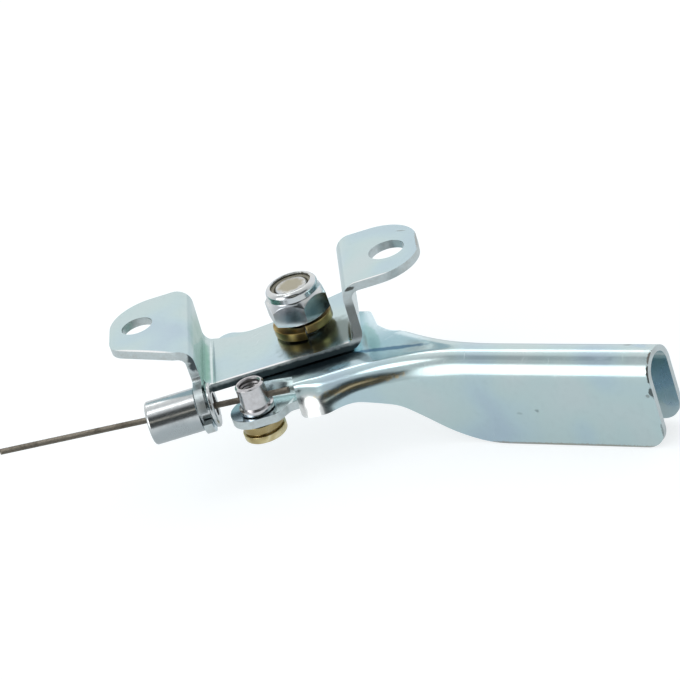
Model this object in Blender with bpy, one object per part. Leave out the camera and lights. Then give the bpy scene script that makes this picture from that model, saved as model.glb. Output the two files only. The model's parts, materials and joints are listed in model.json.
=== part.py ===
"""Hand throttle lever for a garden machine: a folded bracket, a pressed lever and a cable clamp.

Metres, +Z up. The origin is midway between the bracket's two fixing holes, on top of its ears.
The bracket runs along X, the handle leaves it to the front right, the cable to the left.
"""

import math

import bmesh
import bpy
from mathutils import Matrix, Vector

# Shared sizes
SHEET = 0.0020
SEAT_GAP = 0.0003
RUNNING_GAP = 0.0001
CUT_OVERRUN = 0.0010
MERGE_DISTANCE = 0.000003
ARC_STEP = math.radians(15)
SMOOTH_ANGLE = math.radians(32)
BORE_SIDES = 32

# Bracket: a strip folded up, then out, at both ends of its base
EAR_RISE = 0.0120
BEND_INSIDE = 0.0018
LEFT_LEG_X = -0.0242
RIGHT_LEG_X = 0.0110
LEFT_EAR_END_X = -0.0431
RIGHT_EAR_END_X = 0.0303
LEFT_HOLE_X = -0.0365
RIGHT_HOLE_X = 0.0230
HOLE_Y = 0.0017
LEFT_HOLE_DIAMETER = 0.0074
RIGHT_HOLE_DIAMETER = 0.0084
LEFT_EAR_BACK = 0.0135
LEFT_EAR_FRONT = -0.0065
LEFT_EAR_BACK_ROUND = 0.0100
LEFT_EAR_FRONT_ROUND = 0.0060
LEFT_LEG_FRONT = -0.0172
LEFT_LEG_ROUND = 0.0030
BASE_FRONT = -0.0138
WAIST_X = -0.0152
WAIST_Y = 0.0051
WAIST_ROUND = 0.0060
RIGHT_EAR_BACK = 0.0151
RIGHT_EAR_FRONT = -0.0101
RIGHT_EAR_ROUND = 0.0105
RIGHT_LEG_ROUND = 0.0040
STEP_RISE = 0.0021
STEP_ROUND = 0.0015

# Fork tab that grips the cable ferrule, in the plane of the left leg
FERRULE_Y = -0.0194
FERRULE_Z = -0.0021
FORK_RADIUS = 0.0059
FORK_MOUTH = 0.0029
FORK_RELIEF = 0.0005
FORK_ROUND = 0.0012
FORK_SHOULDER = 0.0058
FORK_START_ANGLE = math.radians(75)

# Pivot: bolt from below, spring washer and lock nut on top
BOLT_DIAMETER = 0.0080
BOLT_LENGTH = 0.0160
BOLT_CHAMFER = 0.0009
BOLT_HEAD_HEIGHT = 0.0053
HEX_ACROSS_FLATS = 0.0130
HEX_CHAMFER = 0.0006
SPRING_WASHER_DIAMETER = 0.0140
SPRING_WASHER_HEIGHT = 0.0020
SPRING_WASHER_RISE = 0.0013
SPRING_WASHER_SPLIT = 0.0007
SPLIT_ANGLE = math.radians(-86)
NUT_HEIGHT = 0.0080
NUT_HEX_HEIGHT = 0.0052
NUT_COLLAR_DIAMETER = 0.0122
NUT_COLLAR_ROUND = 0.0012
NUT_ANGLE = math.radians(-136.8)
INSERT_DIAMETER = 0.0102
INSERT_HEIGHT = 0.0020
INSERT_LIP = 0.0004

# Lever: one pressed sheet with a flat boss, a flange that deepens to the front and a channel handle
HANDLE_ANGLE = math.radians(-33)
CREASE_Y = -0.0200
CREASE_ROUND = 0.0520
HANDLE_AXIS = -0.0043
HANDLE_END = 0.0900
FLANGE_OUTSIDE = 0.0053
FLANGE_END_X = -0.0048
HANDLE_DEPTH = 0.0217
HANDLE_CORNER = 0.0038
FLANGE_DEPTH = 0.0064
FLANGE_LOBE_DEPTH = 0.0071
FLANGE_LOBE_LENGTH = 0.0050
FLANGE_LOBE_ROUND = 0.0012
FLANGE_START_X = 0.0065
FLANGE_MIDDLE_X = 0.0180
FLANGE_MIDDLE_DEPTH = 0.0100
FLANGE_FULL_X = 0.0335
FLANGE_SWEEP_ROUND = 0.0140
CURL_START = 0.0190
CURL_END = 0.0440
CURL_CREASE = 0.0092
CURL_LOW_S = 0.0265
CURL_LOW_W = 0.0086
CURL_FULL_S = 0.0430
CURL_ROUND = 0.0100
CURL_STEP = 0.0025
NECK_S = 0.0140
NECK_W = 0.0155
NECK_ROUND = 0.0120
SHOULDER_S = 0.0128
SHOULDER_W = 0.0238
SHOULDER_ROUND = 0.0025
BOSS_HALF_WIDTH = 0.0100
TAIL_LENGTH = 0.0246
TAIL_ROUND = 0.0098

# Arm of the lever that carries the cable clamp, set down one step from the boss
ARM_ROUND = 0.0058
ARM_CORNER_ROUND = 0.0056
ARM_CENTRE_X = -0.0145
ARM_CENTRE_Y = -0.0205
ARM_SIDE_X = -0.0125
ARM_SIDE_ROUND = 0.0020
ARM_ROOT_U = -0.0080
ARM_ROOT_ROUND = 0.0040
ARM_STEP_DOWN = 0.0030
ARM_STEP_ANGLE = math.radians(-17)
ARM_STEP_START = 0.0179
ARM_STEP_END = 0.0203
ARM_STEP_CUTS = 6
ARM_SLIT = 0.0003
ARM_SLIT_REACH = 0.0030
ARM_WEB_LENGTH = 0.0060
ARM_WEB_WIDTH = 0.0034
ARM_WEB_INSET = 0.0017
ARM_WEB_THICKNESS = 0.0016

# Cable clamp on the arm
CLAMP_X = -0.0139
CLAMP_Y = -0.0214
BARREL_DIAMETER = 0.0069
BARREL_TOP = 0.0016
BARREL_BORE = 0.0046
BARREL_CHAMFER = 0.0004
FOOT_DIAMETER = 0.0080
FOOT_HEIGHT = 0.0010
SCREW_DIAMETER = 0.0040
SCREW_NECK_HEIGHT = 0.0018
SCREW_NECK_DIAMETER = 0.0094
SCREW_GROOVE_DIAMETER = 0.0080
SCREW_GROOVE_HEIGHT = 0.0005
SCREW_HEAD_DIAMETER = 0.0100
SCREW_HEAD_HEIGHT = 0.0018
SCREW_HEAD_ROUND = 0.0005

# Cable: bare inner wire and the ferrule that holds its outer casing
WIRE_DIAMETER = 0.0014
WIRE_LEFT = 0.0610
WIRE_RIGHT = 0.0083
WIRE_ANGLE = math.radians(-9.8)
FERRULE_DIAMETER = 0.0100
FERRULE_BODY_LENGTH = 0.0107
FERRULE_ROUND = 0.0007
FERRULE_NECK_DIAMETER = 0.0070
FERRULE_FLANGE_DIAMETER = 0.0103
FERRULE_FLANGE = 0.0016
FERRULE_BORE = 0.0053
CASING_BORE = 0.0084
CASING_DEPTH = 0.0100

SHEET_HALF = SHEET / 2
PLATE_TOP = -SHEET - SEAT_GAP
FLANGE_MIDDLE = FLANGE_OUTSIDE - SHEET_HALF
FLANGE_ARC = FLANGE_MIDDLE * math.pi / 2
BOLT_RADIUS = BOLT_DIAMETER / 2
QUARTER = math.pi / 2
EVERYWHERE = (-math.inf, math.inf)


# Outlines and turned shapes


def arc(centre, radius, start, end):
    """Points from angle start to angle end round a centre, both ends included."""
    steps = max(2, math.ceil(abs(end - start) / ARC_STEP))
    angles = [start + (end - start) * i / steps for i in range(steps + 1)]
    return [(centre[0] + radius * math.cos(a), centre[1] + radius * math.sin(a)) for a in angles]


def rounded(corners):
    """Closed outline from (x, y, radius) corners, with an arc in place of each corner."""
    points = []
    for i, (x, y, radius) in enumerate(corners):
        here = Vector((x, y))
        before = (Vector(corners[i - 1][:2]) - here).normalized()
        after = (Vector(corners[(i + 1) % len(corners)][:2]) - here).normalized()
        if radius == 0:
            points.append((x, y))
            continue
        half = before.angle(after) / 2
        centre = here + (before + after).normalized() * radius / math.sin(half)
        start = here + before * radius / math.tan(half) - centre
        turn = start.angle_signed(here + after * radius / math.tan(half) - centre)
        first = math.atan2(start.y, start.x)
        points += arc(centre, radius, first, first - turn)
    return points


def add_object(name, bm, material, parent, location=(0, 0, 0), angle=0.0):
    """Object from a mesh, smooth where it is round, placed in its parent's frame."""
    bmesh.ops.recalc_face_normals(bm, faces=bm.faces)
    mesh = bpy.data.meshes.new(name)
    bm.to_mesh(mesh)
    bm.free()
    mesh.shade_smooth()
    mesh.set_sharp_from_angle(angle=SMOOTH_ANGLE)
    made = bpy.data.objects.new(name, mesh)
    bpy.context.scene.collection.objects.link(made)
    if material:
        mesh.materials.append(material)
    made.parent = parent
    made.location = location
    made.rotation_euler = (0, 0, angle)
    return made


def turned(profile, sides=BORE_SIDES):
    """Solid of revolution about Z from closed (radius, height) points."""
    bm = bmesh.new()
    verts = [bm.verts.new((r, 0, z)) for r, z in profile]
    edges = [bm.edges.new((a, b)) for a, b in zip(verts, verts[1:] + verts[:1], strict=True)]
    bmesh.ops.spin(bm, geom=verts + edges, angle=2 * math.pi, steps=sides, axis=(0, 0, 1), cent=(0, 0, 0),
                   use_merge=True)
    bmesh.ops.remove_doubles(bm, verts=bm.verts, dist=MERGE_DISTANCE)
    bmesh.ops.recalc_face_normals(bm, faces=bm.faces)
    return bm


def prism(outline, low, high):
    """Upright solid between two heights over a plan outline."""
    bm = bmesh.new()
    face = bm.faces.new([bm.verts.new((x, y, low)) for x, y in outline])
    raised = bmesh.ops.extrude_face_region(bm, geom=[face])["geom"]
    verts = [v for v in raised if isinstance(v, bmesh.types.BMVert)]
    bmesh.ops.translate(bm, vec=(0, 0, high - low), verts=verts)
    bmesh.ops.recalc_face_normals(bm, faces=bm.faces)
    return bm


def cylinder(radius, low, high):
    """Upright round solid on the Z axis."""
    return turned([(0, low), (radius, low), (radius, high), (0, high)])


def boolean(target, tool, operation="DIFFERENCE"):
    """Applies one solid to another and leaves the tool hidden."""
    step = target.modifiers.new(f"{operation.lower()}_{tool.name}", "BOOLEAN")
    step.operation = operation
    step.object = tool
    step.solver = "EXACT"
    tool.hide_render = True
    tool.display_type = "WIRE"


# Folded sheet


def blank(outline, cuts):
    """Flat sheet outline in cells. A cut is a point, a direction across it and the x range it works in."""
    bm = bmesh.new()
    bm.faces.new([bm.verts.new((x, y, 0)) for x, y in outline])
    bm.normal_update()
    for point, across, (low, high) in cuts:
        faces = [f for f in bm.faces if low < f.calc_center_median().x < high]
        edges = {e for f in faces for e in f.edges}
        verts = {v for f in faces for v in f.verts}
        bmesh.ops.bisect_plane(bm, geom=[*verts, *edges, *faces], dist=MERGE_DISTANCE,
                               plane_co=(*point, 0), plane_no=(*across, 0))
    return bm


def folded(flat, place):
    """Closed sheet solid: place(x, y, n) puts a point of the blank, n off its middle surface, in space."""
    bm = bmesh.new()
    top = {v: bm.verts.new(place(v.co.x, v.co.y, SHEET_HALF)) for v in flat.verts}
    bottom = {v: bm.verts.new(place(v.co.x, v.co.y, -SHEET_HALF)) for v in flat.verts}
    for face in flat.faces:
        bm.faces.new([top[v] for v in face.verts])
        bm.faces.new([bottom[v] for v in reversed(face.verts)])
    for edge in flat.edges:
        if edge.is_boundary:
            a, b = edge.verts
            bm.faces.new((top[a], bottom[a], bottom[b], top[b]))
    flat.free()
    bm.normal_update()
    bmesh.ops.triangulate(bm, faces=[f for f in bm.faces if len(f.verts) > 4])
    bmesh.ops.recalc_face_normals(bm, faces=bm.faces)
    return bm


# Bracket

BEND_MIDDLE = BEND_INSIDE + SHEET_HALF
BEND_ARC = BEND_MIDDLE * math.pi / 2
LEG_FLAT = EAR_RISE - SHEET - 2 * BEND_INSIDE
LEFT_EAR_FLAT = LEFT_LEG_X - SHEET - BEND_INSIDE - LEFT_EAR_END_X
RIGHT_EAR_FLAT = RIGHT_EAR_END_X - RIGHT_LEG_X - SHEET - BEND_INSIDE
BASE_FLAT = RIGHT_LEG_X - LEFT_LEG_X - 2 * BEND_INSIDE

# Each run of the strip from the left ear's end: its length, and how far it turns upward on the way
RUNS = (
    (LEFT_EAR_FLAT, 0),
    (BEND_ARC, -QUARTER),
    (LEG_FLAT, 0),
    (BEND_ARC, QUARTER),
    (BASE_FLAT, 0),
    (BEND_ARC, QUARTER),
    (LEG_FLAT, 0),
    (BEND_ARC, -QUARTER),
    (RIGHT_EAR_FLAT, 0),
)
RUN_STARTS = [sum(length for length, _ in RUNS[:i]) for i in range(len(RUNS) + 1)]
EAR_BEND, LEG_TOP, LEG_FOOT, BASE_START, BASE_END, RIGHT_LEG_FOOT, RIGHT_LEG_TOP, RIGHT_EAR = RUN_STARTS[1:9]


def strip_place(s, y, n):
    """Folds a blank point: s along the strip from the left ear's end, y across it, n above its middle."""
    x = LEFT_EAR_END_X
    z = EAR_RISE - SHEET_HALF
    heading = 0.0
    in_fork = y < BASE_FRONT - FORK_RELIEF / 2 and s > LEG_FOOT
    for i, (length, turn) in enumerate(RUNS):
        if in_fork and RUN_STARTS[i] >= LEG_FOOT:
            turn = 0
        last = i == len(RUNS) - 1 or s <= RUN_STARTS[i + 1]
        going = s - RUN_STARTS[i] if last else length
        if turn:
            radius = length / turn
            after = heading + going / radius
            x += radius * (math.sin(after) - math.sin(heading))
            z -= radius * (math.cos(after) - math.cos(heading))
            heading = after
        else:
            x += going * math.cos(heading)
            z += going * math.sin(heading)
        if last:
            break
    return x - n * math.sin(heading), y, z + n * math.cos(heading)


def leg_s(z):
    """Place along the strip of a height on the left leg's plane."""
    return LEG_TOP + EAR_RISE - SHEET - BEND_INSIDE - z


def fork_arc(radius, start, end):
    """Arc of the fork tab, its angle measured upward from the front, in blank coordinates."""
    return [(leg_s(FERRULE_Z) - x, FERRULE_Y - y) for y, x in arc((0, 0), radius, start, end)]


def bracket_outline():
    """Outline of the bracket's blank, from the left ear along the front to the right ear and back."""
    hole = FERRULE_NECK_DIAMETER / 2 + SEAT_GAP
    mouth = FORK_MOUTH / 2
    outer_lip = math.asin(mouth / FORK_RADIUS)
    inner_lip = math.asin(mouth / hole)
    relief = BASE_FRONT - FORK_RELIEF
    back = math.acos((FERRULE_Y - relief) / FORK_RADIUS)
    fork = fork_arc(FORK_RADIUS, FORK_START_ANGLE, outer_lip)
    fork += fork_arc(hole, inner_lip, 2 * math.pi - inner_lip)
    fork += fork_arc(FORK_RADIUS, -outer_lip, -back)
    slope = (LEFT_EAR_FRONT - LEFT_LEG_FRONT) / EAR_BEND
    waist_s = BASE_START + WAIST_X - LEFT_LEG_X - BEND_INSIDE
    right_slope = (RIGHT_EAR_BACK - WAIST_Y) / (RIGHT_LEG_TOP - waist_s)
    corners = [(0, LEFT_EAR_FRONT, LEFT_EAR_FRONT_ROUND)]
    corners += [(EAR_BEND, LEFT_EAR_FRONT - slope * EAR_BEND, LEFT_LEG_ROUND)]
    corners += [(leg_s(FERRULE_Z + FORK_SHOULDER), LEFT_LEG_FRONT, FORK_ROUND)]
    corners += [(x, y, 0) for x, y in fork]
    corners += [(LEG_FOOT, relief, 0), (LEG_FOOT, BASE_FRONT, 0)]
    step_foot = BASE_END + BEND_ARC
    corners += [(step_foot, BASE_FRONT, STEP_ROUND)]
    corners += [(step_foot + STEP_RISE, RIGHT_EAR_FRONT, STEP_ROUND)]
    end = RUN_STARTS[-1]
    corners += [(end, RIGHT_EAR_FRONT, RIGHT_EAR_ROUND), (end, RIGHT_EAR_BACK, RIGHT_EAR_ROUND)]
    corners += [(RIGHT_LEG_TOP, RIGHT_EAR_BACK, RIGHT_LEG_ROUND)]
    corners += [(waist_s, RIGHT_EAR_BACK - right_slope * (RIGHT_LEG_TOP - waist_s), WAIST_ROUND)]
    corners += [(LEG_TOP, LEFT_EAR_BACK, LEFT_LEG_ROUND), (0, LEFT_EAR_BACK, LEFT_EAR_BACK_ROUND)]
    return rounded(corners)


def make_bracket(material, parent):
    """The folded bracket with its two fixing holes and its pivot hole."""
    cuts = []
    for i, (length, turn) in enumerate(RUNS):
        if turn:
            steps = round(abs(turn) / ARC_STEP)
            places = [RUN_STARTS[i] + length * k / steps for k in range(steps + 1)]
            cuts += [((place, 0), (1, 0), EVERYWHERE) for place in places]
    bracket = add_object("bracket", folded(blank(bracket_outline(), cuts), strip_place), material, parent)
    holes = (
        ("left_hole", LEFT_HOLE_X, HOLE_Y, LEFT_HOLE_DIAMETER / 2, EAR_RISE),
        ("right_hole", RIGHT_HOLE_X, HOLE_Y, RIGHT_HOLE_DIAMETER / 2, EAR_RISE),
        ("pivot_hole", 0, 0, BOLT_RADIUS + SEAT_GAP, 0),
    )
    for name, x, y, radius, top in holes:
        tool = cylinder(radius, top - SHEET - CUT_OVERRUN, top + CUT_OVERRUN)
        boolean(bracket, add_object(name, tool, None, parent, (x, y, 0)))
    return bracket


# Lever

HANDLE_ALONG = Vector((math.cos(HANDLE_ANGLE), math.sin(HANDLE_ANGLE)))
HANDLE_ACROSS = Vector((-math.sin(HANDLE_ANGLE), math.cos(HANDLE_ANGLE)))
MEETING_U = (CREASE_Y - HANDLE_AXIS * HANDLE_ACROSS.y) / HANDLE_ALONG.y
CREASE_TANGENT = CREASE_ROUND * math.tan(-HANDLE_ANGLE / 2)
CREASE_TURN_S = MEETING_U * HANDLE_ALONG.x + HANDLE_AXIS * HANDLE_ACROSS.x - CREASE_TANGENT
CREASE_STRAIGHT_S = CREASE_TURN_S - CREASE_ROUND * HANDLE_ANGLE
CREASE_STRAIGHT_U = MEETING_U + CREASE_TANGENT
LEVER_END_S = CREASE_STRAIGHT_S + HANDLE_END - CREASE_STRAIGHT_U
WALL_FULL = FLANGE_ARC + HANDLE_DEPTH - FLANGE_OUTSIDE


def crease(s):
    """Plan point of the front crease at s, and the direction from it to the back."""
    if s < CREASE_TURN_S:
        return Vector((s, CREASE_Y)), Vector((0, 1))
    if s < CREASE_STRAIGHT_S:
        angle = (s - CREASE_TURN_S) / CREASE_ROUND
        back = Vector((math.sin(angle), math.cos(angle)))
        return Vector((CREASE_TURN_S, CREASE_Y - CREASE_ROUND)) + back * CREASE_ROUND, back
    u = CREASE_STRAIGHT_U + s - CREASE_STRAIGHT_S
    return HANDLE_ALONG * u + HANDLE_ACROSS * HANDLE_AXIS, HANDLE_ACROSS


def blank_point(x, y):
    """Blank coordinates of a plan point of the flat boss: s along the crease, w behind it."""
    if x < CREASE_TURN_S:
        return x, y - CREASE_Y
    away = Vector((x - CREASE_TURN_S, y - CREASE_Y + CREASE_ROUND))
    return CREASE_TURN_S + CREASE_ROUND * math.atan2(away.x, away.y), away.length - CREASE_ROUND


def boss_point(u, v):
    """Blank coordinates of a point of the boss, u along the handle's line and v behind it."""
    plan = HANDLE_ALONG * u + HANDLE_ACROSS * v
    return blank_point(plan.x, plan.y)


def back_crease(s):
    """How far behind the front crease the back edge starts to curl down."""
    left_share = max(0.0, (CURL_END - s) / (CURL_END - CURL_START))
    return CURL_CREASE * left_share**3


def bent(distance, n):
    """Way out and way down from a crease, for a distance past it round the bend and down the wall."""
    angle = min(distance / FLANGE_MIDDLE, QUARTER)
    radius = FLANGE_MIDDLE + n
    wall = max(0.0, distance - FLANGE_ARC)
    return radius * math.sin(angle), radius * math.cos(angle) - FLANGE_OUTSIDE - wall


def lever_place(s, w, n):
    """Presses a blank point: s along the front crease, w behind it, n above the middle surface."""
    point, back = crease(s)
    out, drop = w, n - SHEET_HALF
    if s < FLANGE_END_X:
        plan = point + back * w
        normal = Vector((math.sin(ARM_STEP_ANGLE), -math.cos(ARM_STEP_ANGLE)))
        share = (plan.dot(normal) - ARM_STEP_START) / (ARM_STEP_END - ARM_STEP_START)
        share = min(max(share, 0.0), 1.0)
        drop -= ARM_STEP_DOWN * share * share * (3 - 2 * share)
    elif w < 0:
        out, drop = bent(-w, n)
        out = -out
    elif s > CURL_START and w > back_crease(s):
        out, drop = bent(w - back_crease(s), n)
        out += back_crease(s)
    plan = point + back * out
    return plan.x, plan.y, PLATE_TOP + drop


def lever_outline():
    """Outline of the lever's blank, from the arm along the flange to the handle and back over the boss."""
    slit = ARM_SLIT / 2
    flange = FLANGE_ARC - FLANGE_OUTSIDE
    lobe_end = FLANGE_END_X + FLANGE_LOBE_LENGTH
    left = ARM_CENTRE_X - ARM_ROUND
    corners = [(left, ARM_CENTRE_Y - ARM_ROUND - CREASE_Y, ARM_CORNER_ROUND)]
    corners += [(FLANGE_END_X - slit, ARM_CENTRE_Y - ARM_ROUND - CREASE_Y, 0)]
    corners += [(FLANGE_END_X - slit, ARM_SLIT_REACH, 0), (FLANGE_END_X + slit, ARM_SLIT_REACH, 0)]
    corners += [(FLANGE_END_X + slit, -flange - FLANGE_LOBE_DEPTH, FLANGE_LOBE_ROUND)]
    corners += [(lobe_end - FLANGE_LOBE_ROUND, -flange - FLANGE_LOBE_DEPTH, FLANGE_LOBE_ROUND)]
    corners += [(lobe_end, -flange - FLANGE_DEPTH, FLANGE_LOBE_ROUND)]
    corners += [(FLANGE_START_X, -flange - FLANGE_DEPTH, FLANGE_SWEEP_ROUND)]
    corners += [(FLANGE_MIDDLE_X, -flange - FLANGE_MIDDLE_DEPTH, FLANGE_SWEEP_ROUND)]
    corners += [(FLANGE_FULL_X, -WALL_FULL, FLANGE_SWEEP_ROUND)]
    corners += [(LEVER_END_S, -WALL_FULL, HANDLE_CORNER), (LEVER_END_S, WALL_FULL, HANDLE_CORNER)]
    corners += [(CURL_FULL_S, WALL_FULL, CURL_ROUND), (CURL_LOW_S, CURL_LOW_W, CURL_ROUND)]
    corners += [(NECK_S, NECK_W, NECK_ROUND)]
    corners += [(SHOULDER_S, SHOULDER_W, SHOULDER_ROUND)]
    corners += [(*boss_point(-TAIL_LENGTH, BOSS_HALF_WIDTH), TAIL_ROUND)]
    corners += [(*boss_point(-TAIL_LENGTH, -BOSS_HALF_WIDTH), TAIL_ROUND)]
    corners += [(*boss_point(ARM_ROOT_U, -BOSS_HALF_WIDTH), ARM_ROOT_ROUND)]
    corners += [(ARM_SIDE_X, ARM_CENTRE_Y + ARM_ROUND - CREASE_Y, ARM_SIDE_ROUND)]
    corners += [(left, ARM_CENTRE_Y + ARM_ROUND - CREASE_Y, ARM_CORNER_ROUND)]
    return rounded(corners)


def lever_cuts():
    """Lines that divide the blank wherever the pressed sheet is curved."""
    normal = (math.sin(ARM_STEP_ANGLE), -math.cos(ARM_STEP_ANGLE))
    steps = math.ceil((CURL_END - CREASE_TURN_S) / CURL_STEP)
    places = [FLANGE_END_X, CREASE_TURN_S, CURL_START]
    places += [CREASE_TURN_S + (CURL_END - CREASE_TURN_S) * i / steps for i in range(1, steps + 1)]
    cuts = [((place, 0), (1, 0), EVERYWHERE) for place in places]
    arc_steps = round(QUARTER / ARC_STEP)
    bends = [FLANGE_ARC * i / arc_steps for i in range(arc_steps + 1)]
    cuts += [((0, -w), (0, 1), (FLANGE_END_X, math.inf)) for w in bends]
    cuts += [((0, w), (0, 1), (CURL_START, math.inf)) for w in bends[1:]]
    cuts += [((0, FLANGE_ARC + w), (0, 1), (CURL_START, math.inf)) for w in bends[1:]]
    for i in range(ARM_STEP_CUTS + 1):
        reach = ARM_STEP_START + (ARM_STEP_END - ARM_STEP_START) * i / ARM_STEP_CUTS
        cuts.append(((normal[0] * reach, normal[1] * reach - CREASE_Y), normal, (-math.inf, FLANGE_END_X)))
    return cuts


def make_lever(material, parent):
    """The pressed lever, its arm tied to the flange beside it, with the pivot and clamp holes."""
    flat = blank(lever_outline(), lever_cuts())
    lever = add_object("throttle_lever", folded(flat, lever_place), material, parent)
    arm_middle = PLATE_TOP - ARM_STEP_DOWN - SHEET_HALF
    front = ARM_CENTRE_Y - ARM_ROUND + ARM_WEB_INSET
    low_x = FLANGE_END_X - ARM_WEB_LENGTH / 2
    web = [(low_x, front), (low_x + ARM_WEB_LENGTH, front), (low_x + ARM_WEB_LENGTH, front + ARM_WEB_WIDTH),
           (low_x, front + ARM_WEB_WIDTH)]
    tie = prism(web, arm_middle - ARM_WEB_THICKNESS / 2, arm_middle + ARM_WEB_THICKNESS / 2)
    boolean(lever, add_object("arm_web", tie, None, parent), "UNION")
    pivot = cylinder(BOLT_RADIUS + RUNNING_GAP, PLATE_TOP - SHEET - CUT_OVERRUN, PLATE_TOP + CUT_OVERRUN)
    boolean(lever, add_object("lever_bore", pivot, None, parent))
    clamp = cylinder(SCREW_DIAMETER / 2 + RUNNING_GAP, arm_middle - SHEET, arm_middle + SHEET)
    boolean(lever, add_object("clamp_bore", clamp, None, parent, (CLAMP_X, CLAMP_Y, 0)))
    return lever


# Pivot fasteners


def hexagon(across_flats, angle):
    """Corners of a hexagon, the first at an angle."""
    radius = across_flats / math.sqrt(3)
    angles = [angle + i * math.pi / 3 for i in range(6)]
    return [(radius * math.cos(a), radius * math.sin(a)) for a in angles]


def chamfered_blank(low, high, top_radius):
    """Turned blank that leaves a hexagon's corners chamfered at its lower end, and at its top if given."""
    corner = HEX_ACROSS_FLATS / math.sqrt(3)
    flat = HEX_ACROSS_FLATS / 2
    profile = [(0, low), (flat - HEX_CHAMFER / 2, low), (corner, low + HEX_CHAMFER)]
    profile += [(corner, high - HEX_CHAMFER), (top_radius, high), (0, high)]
    return turned(profile)


def make_bolt(material, parent):
    """Hexagon bolt pushed up from below the lever."""
    seat = PLATE_TOP - SHEET - SEAT_GAP
    foot = seat - BOLT_HEAD_HEIGHT
    head = add_object("pivot_bolt", prism(hexagon(HEX_ACROSS_FLATS, 0), foot, seat), material, parent)
    flat = HEX_ACROSS_FLATS / 2
    shape = add_object("head_blank", chamfered_blank(foot, seat, flat - HEX_CHAMFER / 2), None, parent)
    boolean(head, shape, "INTERSECT")
    end = seat + BOLT_LENGTH
    profile = [(0, seat - SHEET_HALF), (BOLT_RADIUS, seat - SHEET_HALF), (BOLT_RADIUS, end - BOLT_CHAMFER)]
    profile += [(BOLT_RADIUS - BOLT_CHAMFER, end), (0, end)]
    boolean(head, add_object("bolt_shank", turned(profile), None, parent), "UNION")
    return head


def make_spring_washer(material, parent):
    """Square wire wound one turn, its ends apart and one above the other."""
    inner = BOLT_RADIUS + SEAT_GAP
    outer = SPRING_WASHER_DIAMETER / 2
    gap = SPRING_WASHER_SPLIT / outer
    bm = bmesh.new()
    rings = []
    for i in range(BORE_SIDES + 1):
        share = i / BORE_SIDES
        angle = SPLIT_ANGLE - gap - (2 * math.pi - 2 * gap) * share
        low = SEAT_GAP + SPRING_WASHER_RISE * share
        high = low + SPRING_WASHER_HEIGHT
        out = Vector((math.cos(angle), math.sin(angle), 0))
        section = ((inner, low), (outer, low), (outer, high), (inner, high))
        rings.append([bm.verts.new(out * r + Vector((0, 0, z))) for r, z in section])
    for a, b in zip(rings, rings[1:]):
        for k in range(4):
            bm.faces.new((a[k], a[k - 1], b[k - 1], b[k]))
    bm.faces.new(rings[0])
    bm.faces.new(rings[-1])
    return add_object("spring_washer", bm, material, parent)


NUT_FOOT = 2 * SEAT_GAP + SPRING_WASHER_HEIGHT + SPRING_WASHER_RISE
NUT_TOP = NUT_FOOT + NUT_HEIGHT


def make_nut(material, parent):
    """Hexagon lock nut whose round collar holds the nylon insert."""
    hexagonal = prism(hexagon(HEX_ACROSS_FLATS, NUT_ANGLE), NUT_FOOT, NUT_TOP)
    nut = add_object("lock_nut", hexagonal, material, parent)
    corner = HEX_ACROSS_FLATS / math.sqrt(3)
    collar = NUT_COLLAR_DIAMETER / 2
    shoulder = NUT_FOOT + NUT_HEX_HEIGHT
    profile = [(0, NUT_FOOT), (HEX_ACROSS_FLATS / 2 - HEX_CHAMFER / 2, NUT_FOOT)]
    profile += [(corner, NUT_FOOT + HEX_CHAMFER), (corner, shoulder), (collar, shoulder + HEX_CHAMFER)]
    profile += arc((collar - NUT_COLLAR_ROUND, NUT_TOP - NUT_COLLAR_ROUND), NUT_COLLAR_ROUND, 0, QUARTER)
    profile += [(0, NUT_TOP)]
    boolean(nut, add_object("nut_blank", turned(profile), None, parent), "INTERSECT")
    bore = BOLT_RADIUS + SEAT_GAP
    recess = INSERT_DIAMETER / 2 + SEAT_GAP
    ceiling = NUT_TOP - INSERT_LIP
    floor = ceiling - INSERT_HEIGHT - 2 * SEAT_GAP
    inside = [(0, NUT_FOOT - CUT_OVERRUN), (bore, NUT_FOOT - CUT_OVERRUN), (bore, floor), (recess, floor)]
    lip = recess - 2 * SEAT_GAP
    inside += [(recess, ceiling), (lip, ceiling), (lip, NUT_TOP + CUT_OVERRUN), (0, NUT_TOP + CUT_OVERRUN)]
    boolean(nut, add_object("nut_bore", turned(inside), None, parent))
    return nut


def make_insert(material, parent):
    """Nylon ring trapped in the nut's collar."""
    top = NUT_TOP - INSERT_LIP - SEAT_GAP
    low = top - INSERT_HEIGHT
    bore = BOLT_RADIUS + SEAT_GAP
    outer = INSERT_DIAMETER / 2
    ring = turned([(bore, low), (outer, low), (outer, top), (bore, top)])
    return add_object("nylon_insert", ring, material, parent)


# Cable clamp, wire and ferrule

ARM_TOP = PLATE_TOP - ARM_STEP_DOWN
WIRE_Z = FERRULE_Z - RUNNING_GAP


def along_wire(bm, z):
    """Turns an upright solid on the Z axis so that it lies along X at a height."""
    laid = Matrix.Translation((0, 0, z)) @ Matrix.Rotation(QUARTER, 4, "Y")
    bmesh.ops.transform(bm, matrix=laid, verts=bm.verts)
    return bm


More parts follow.
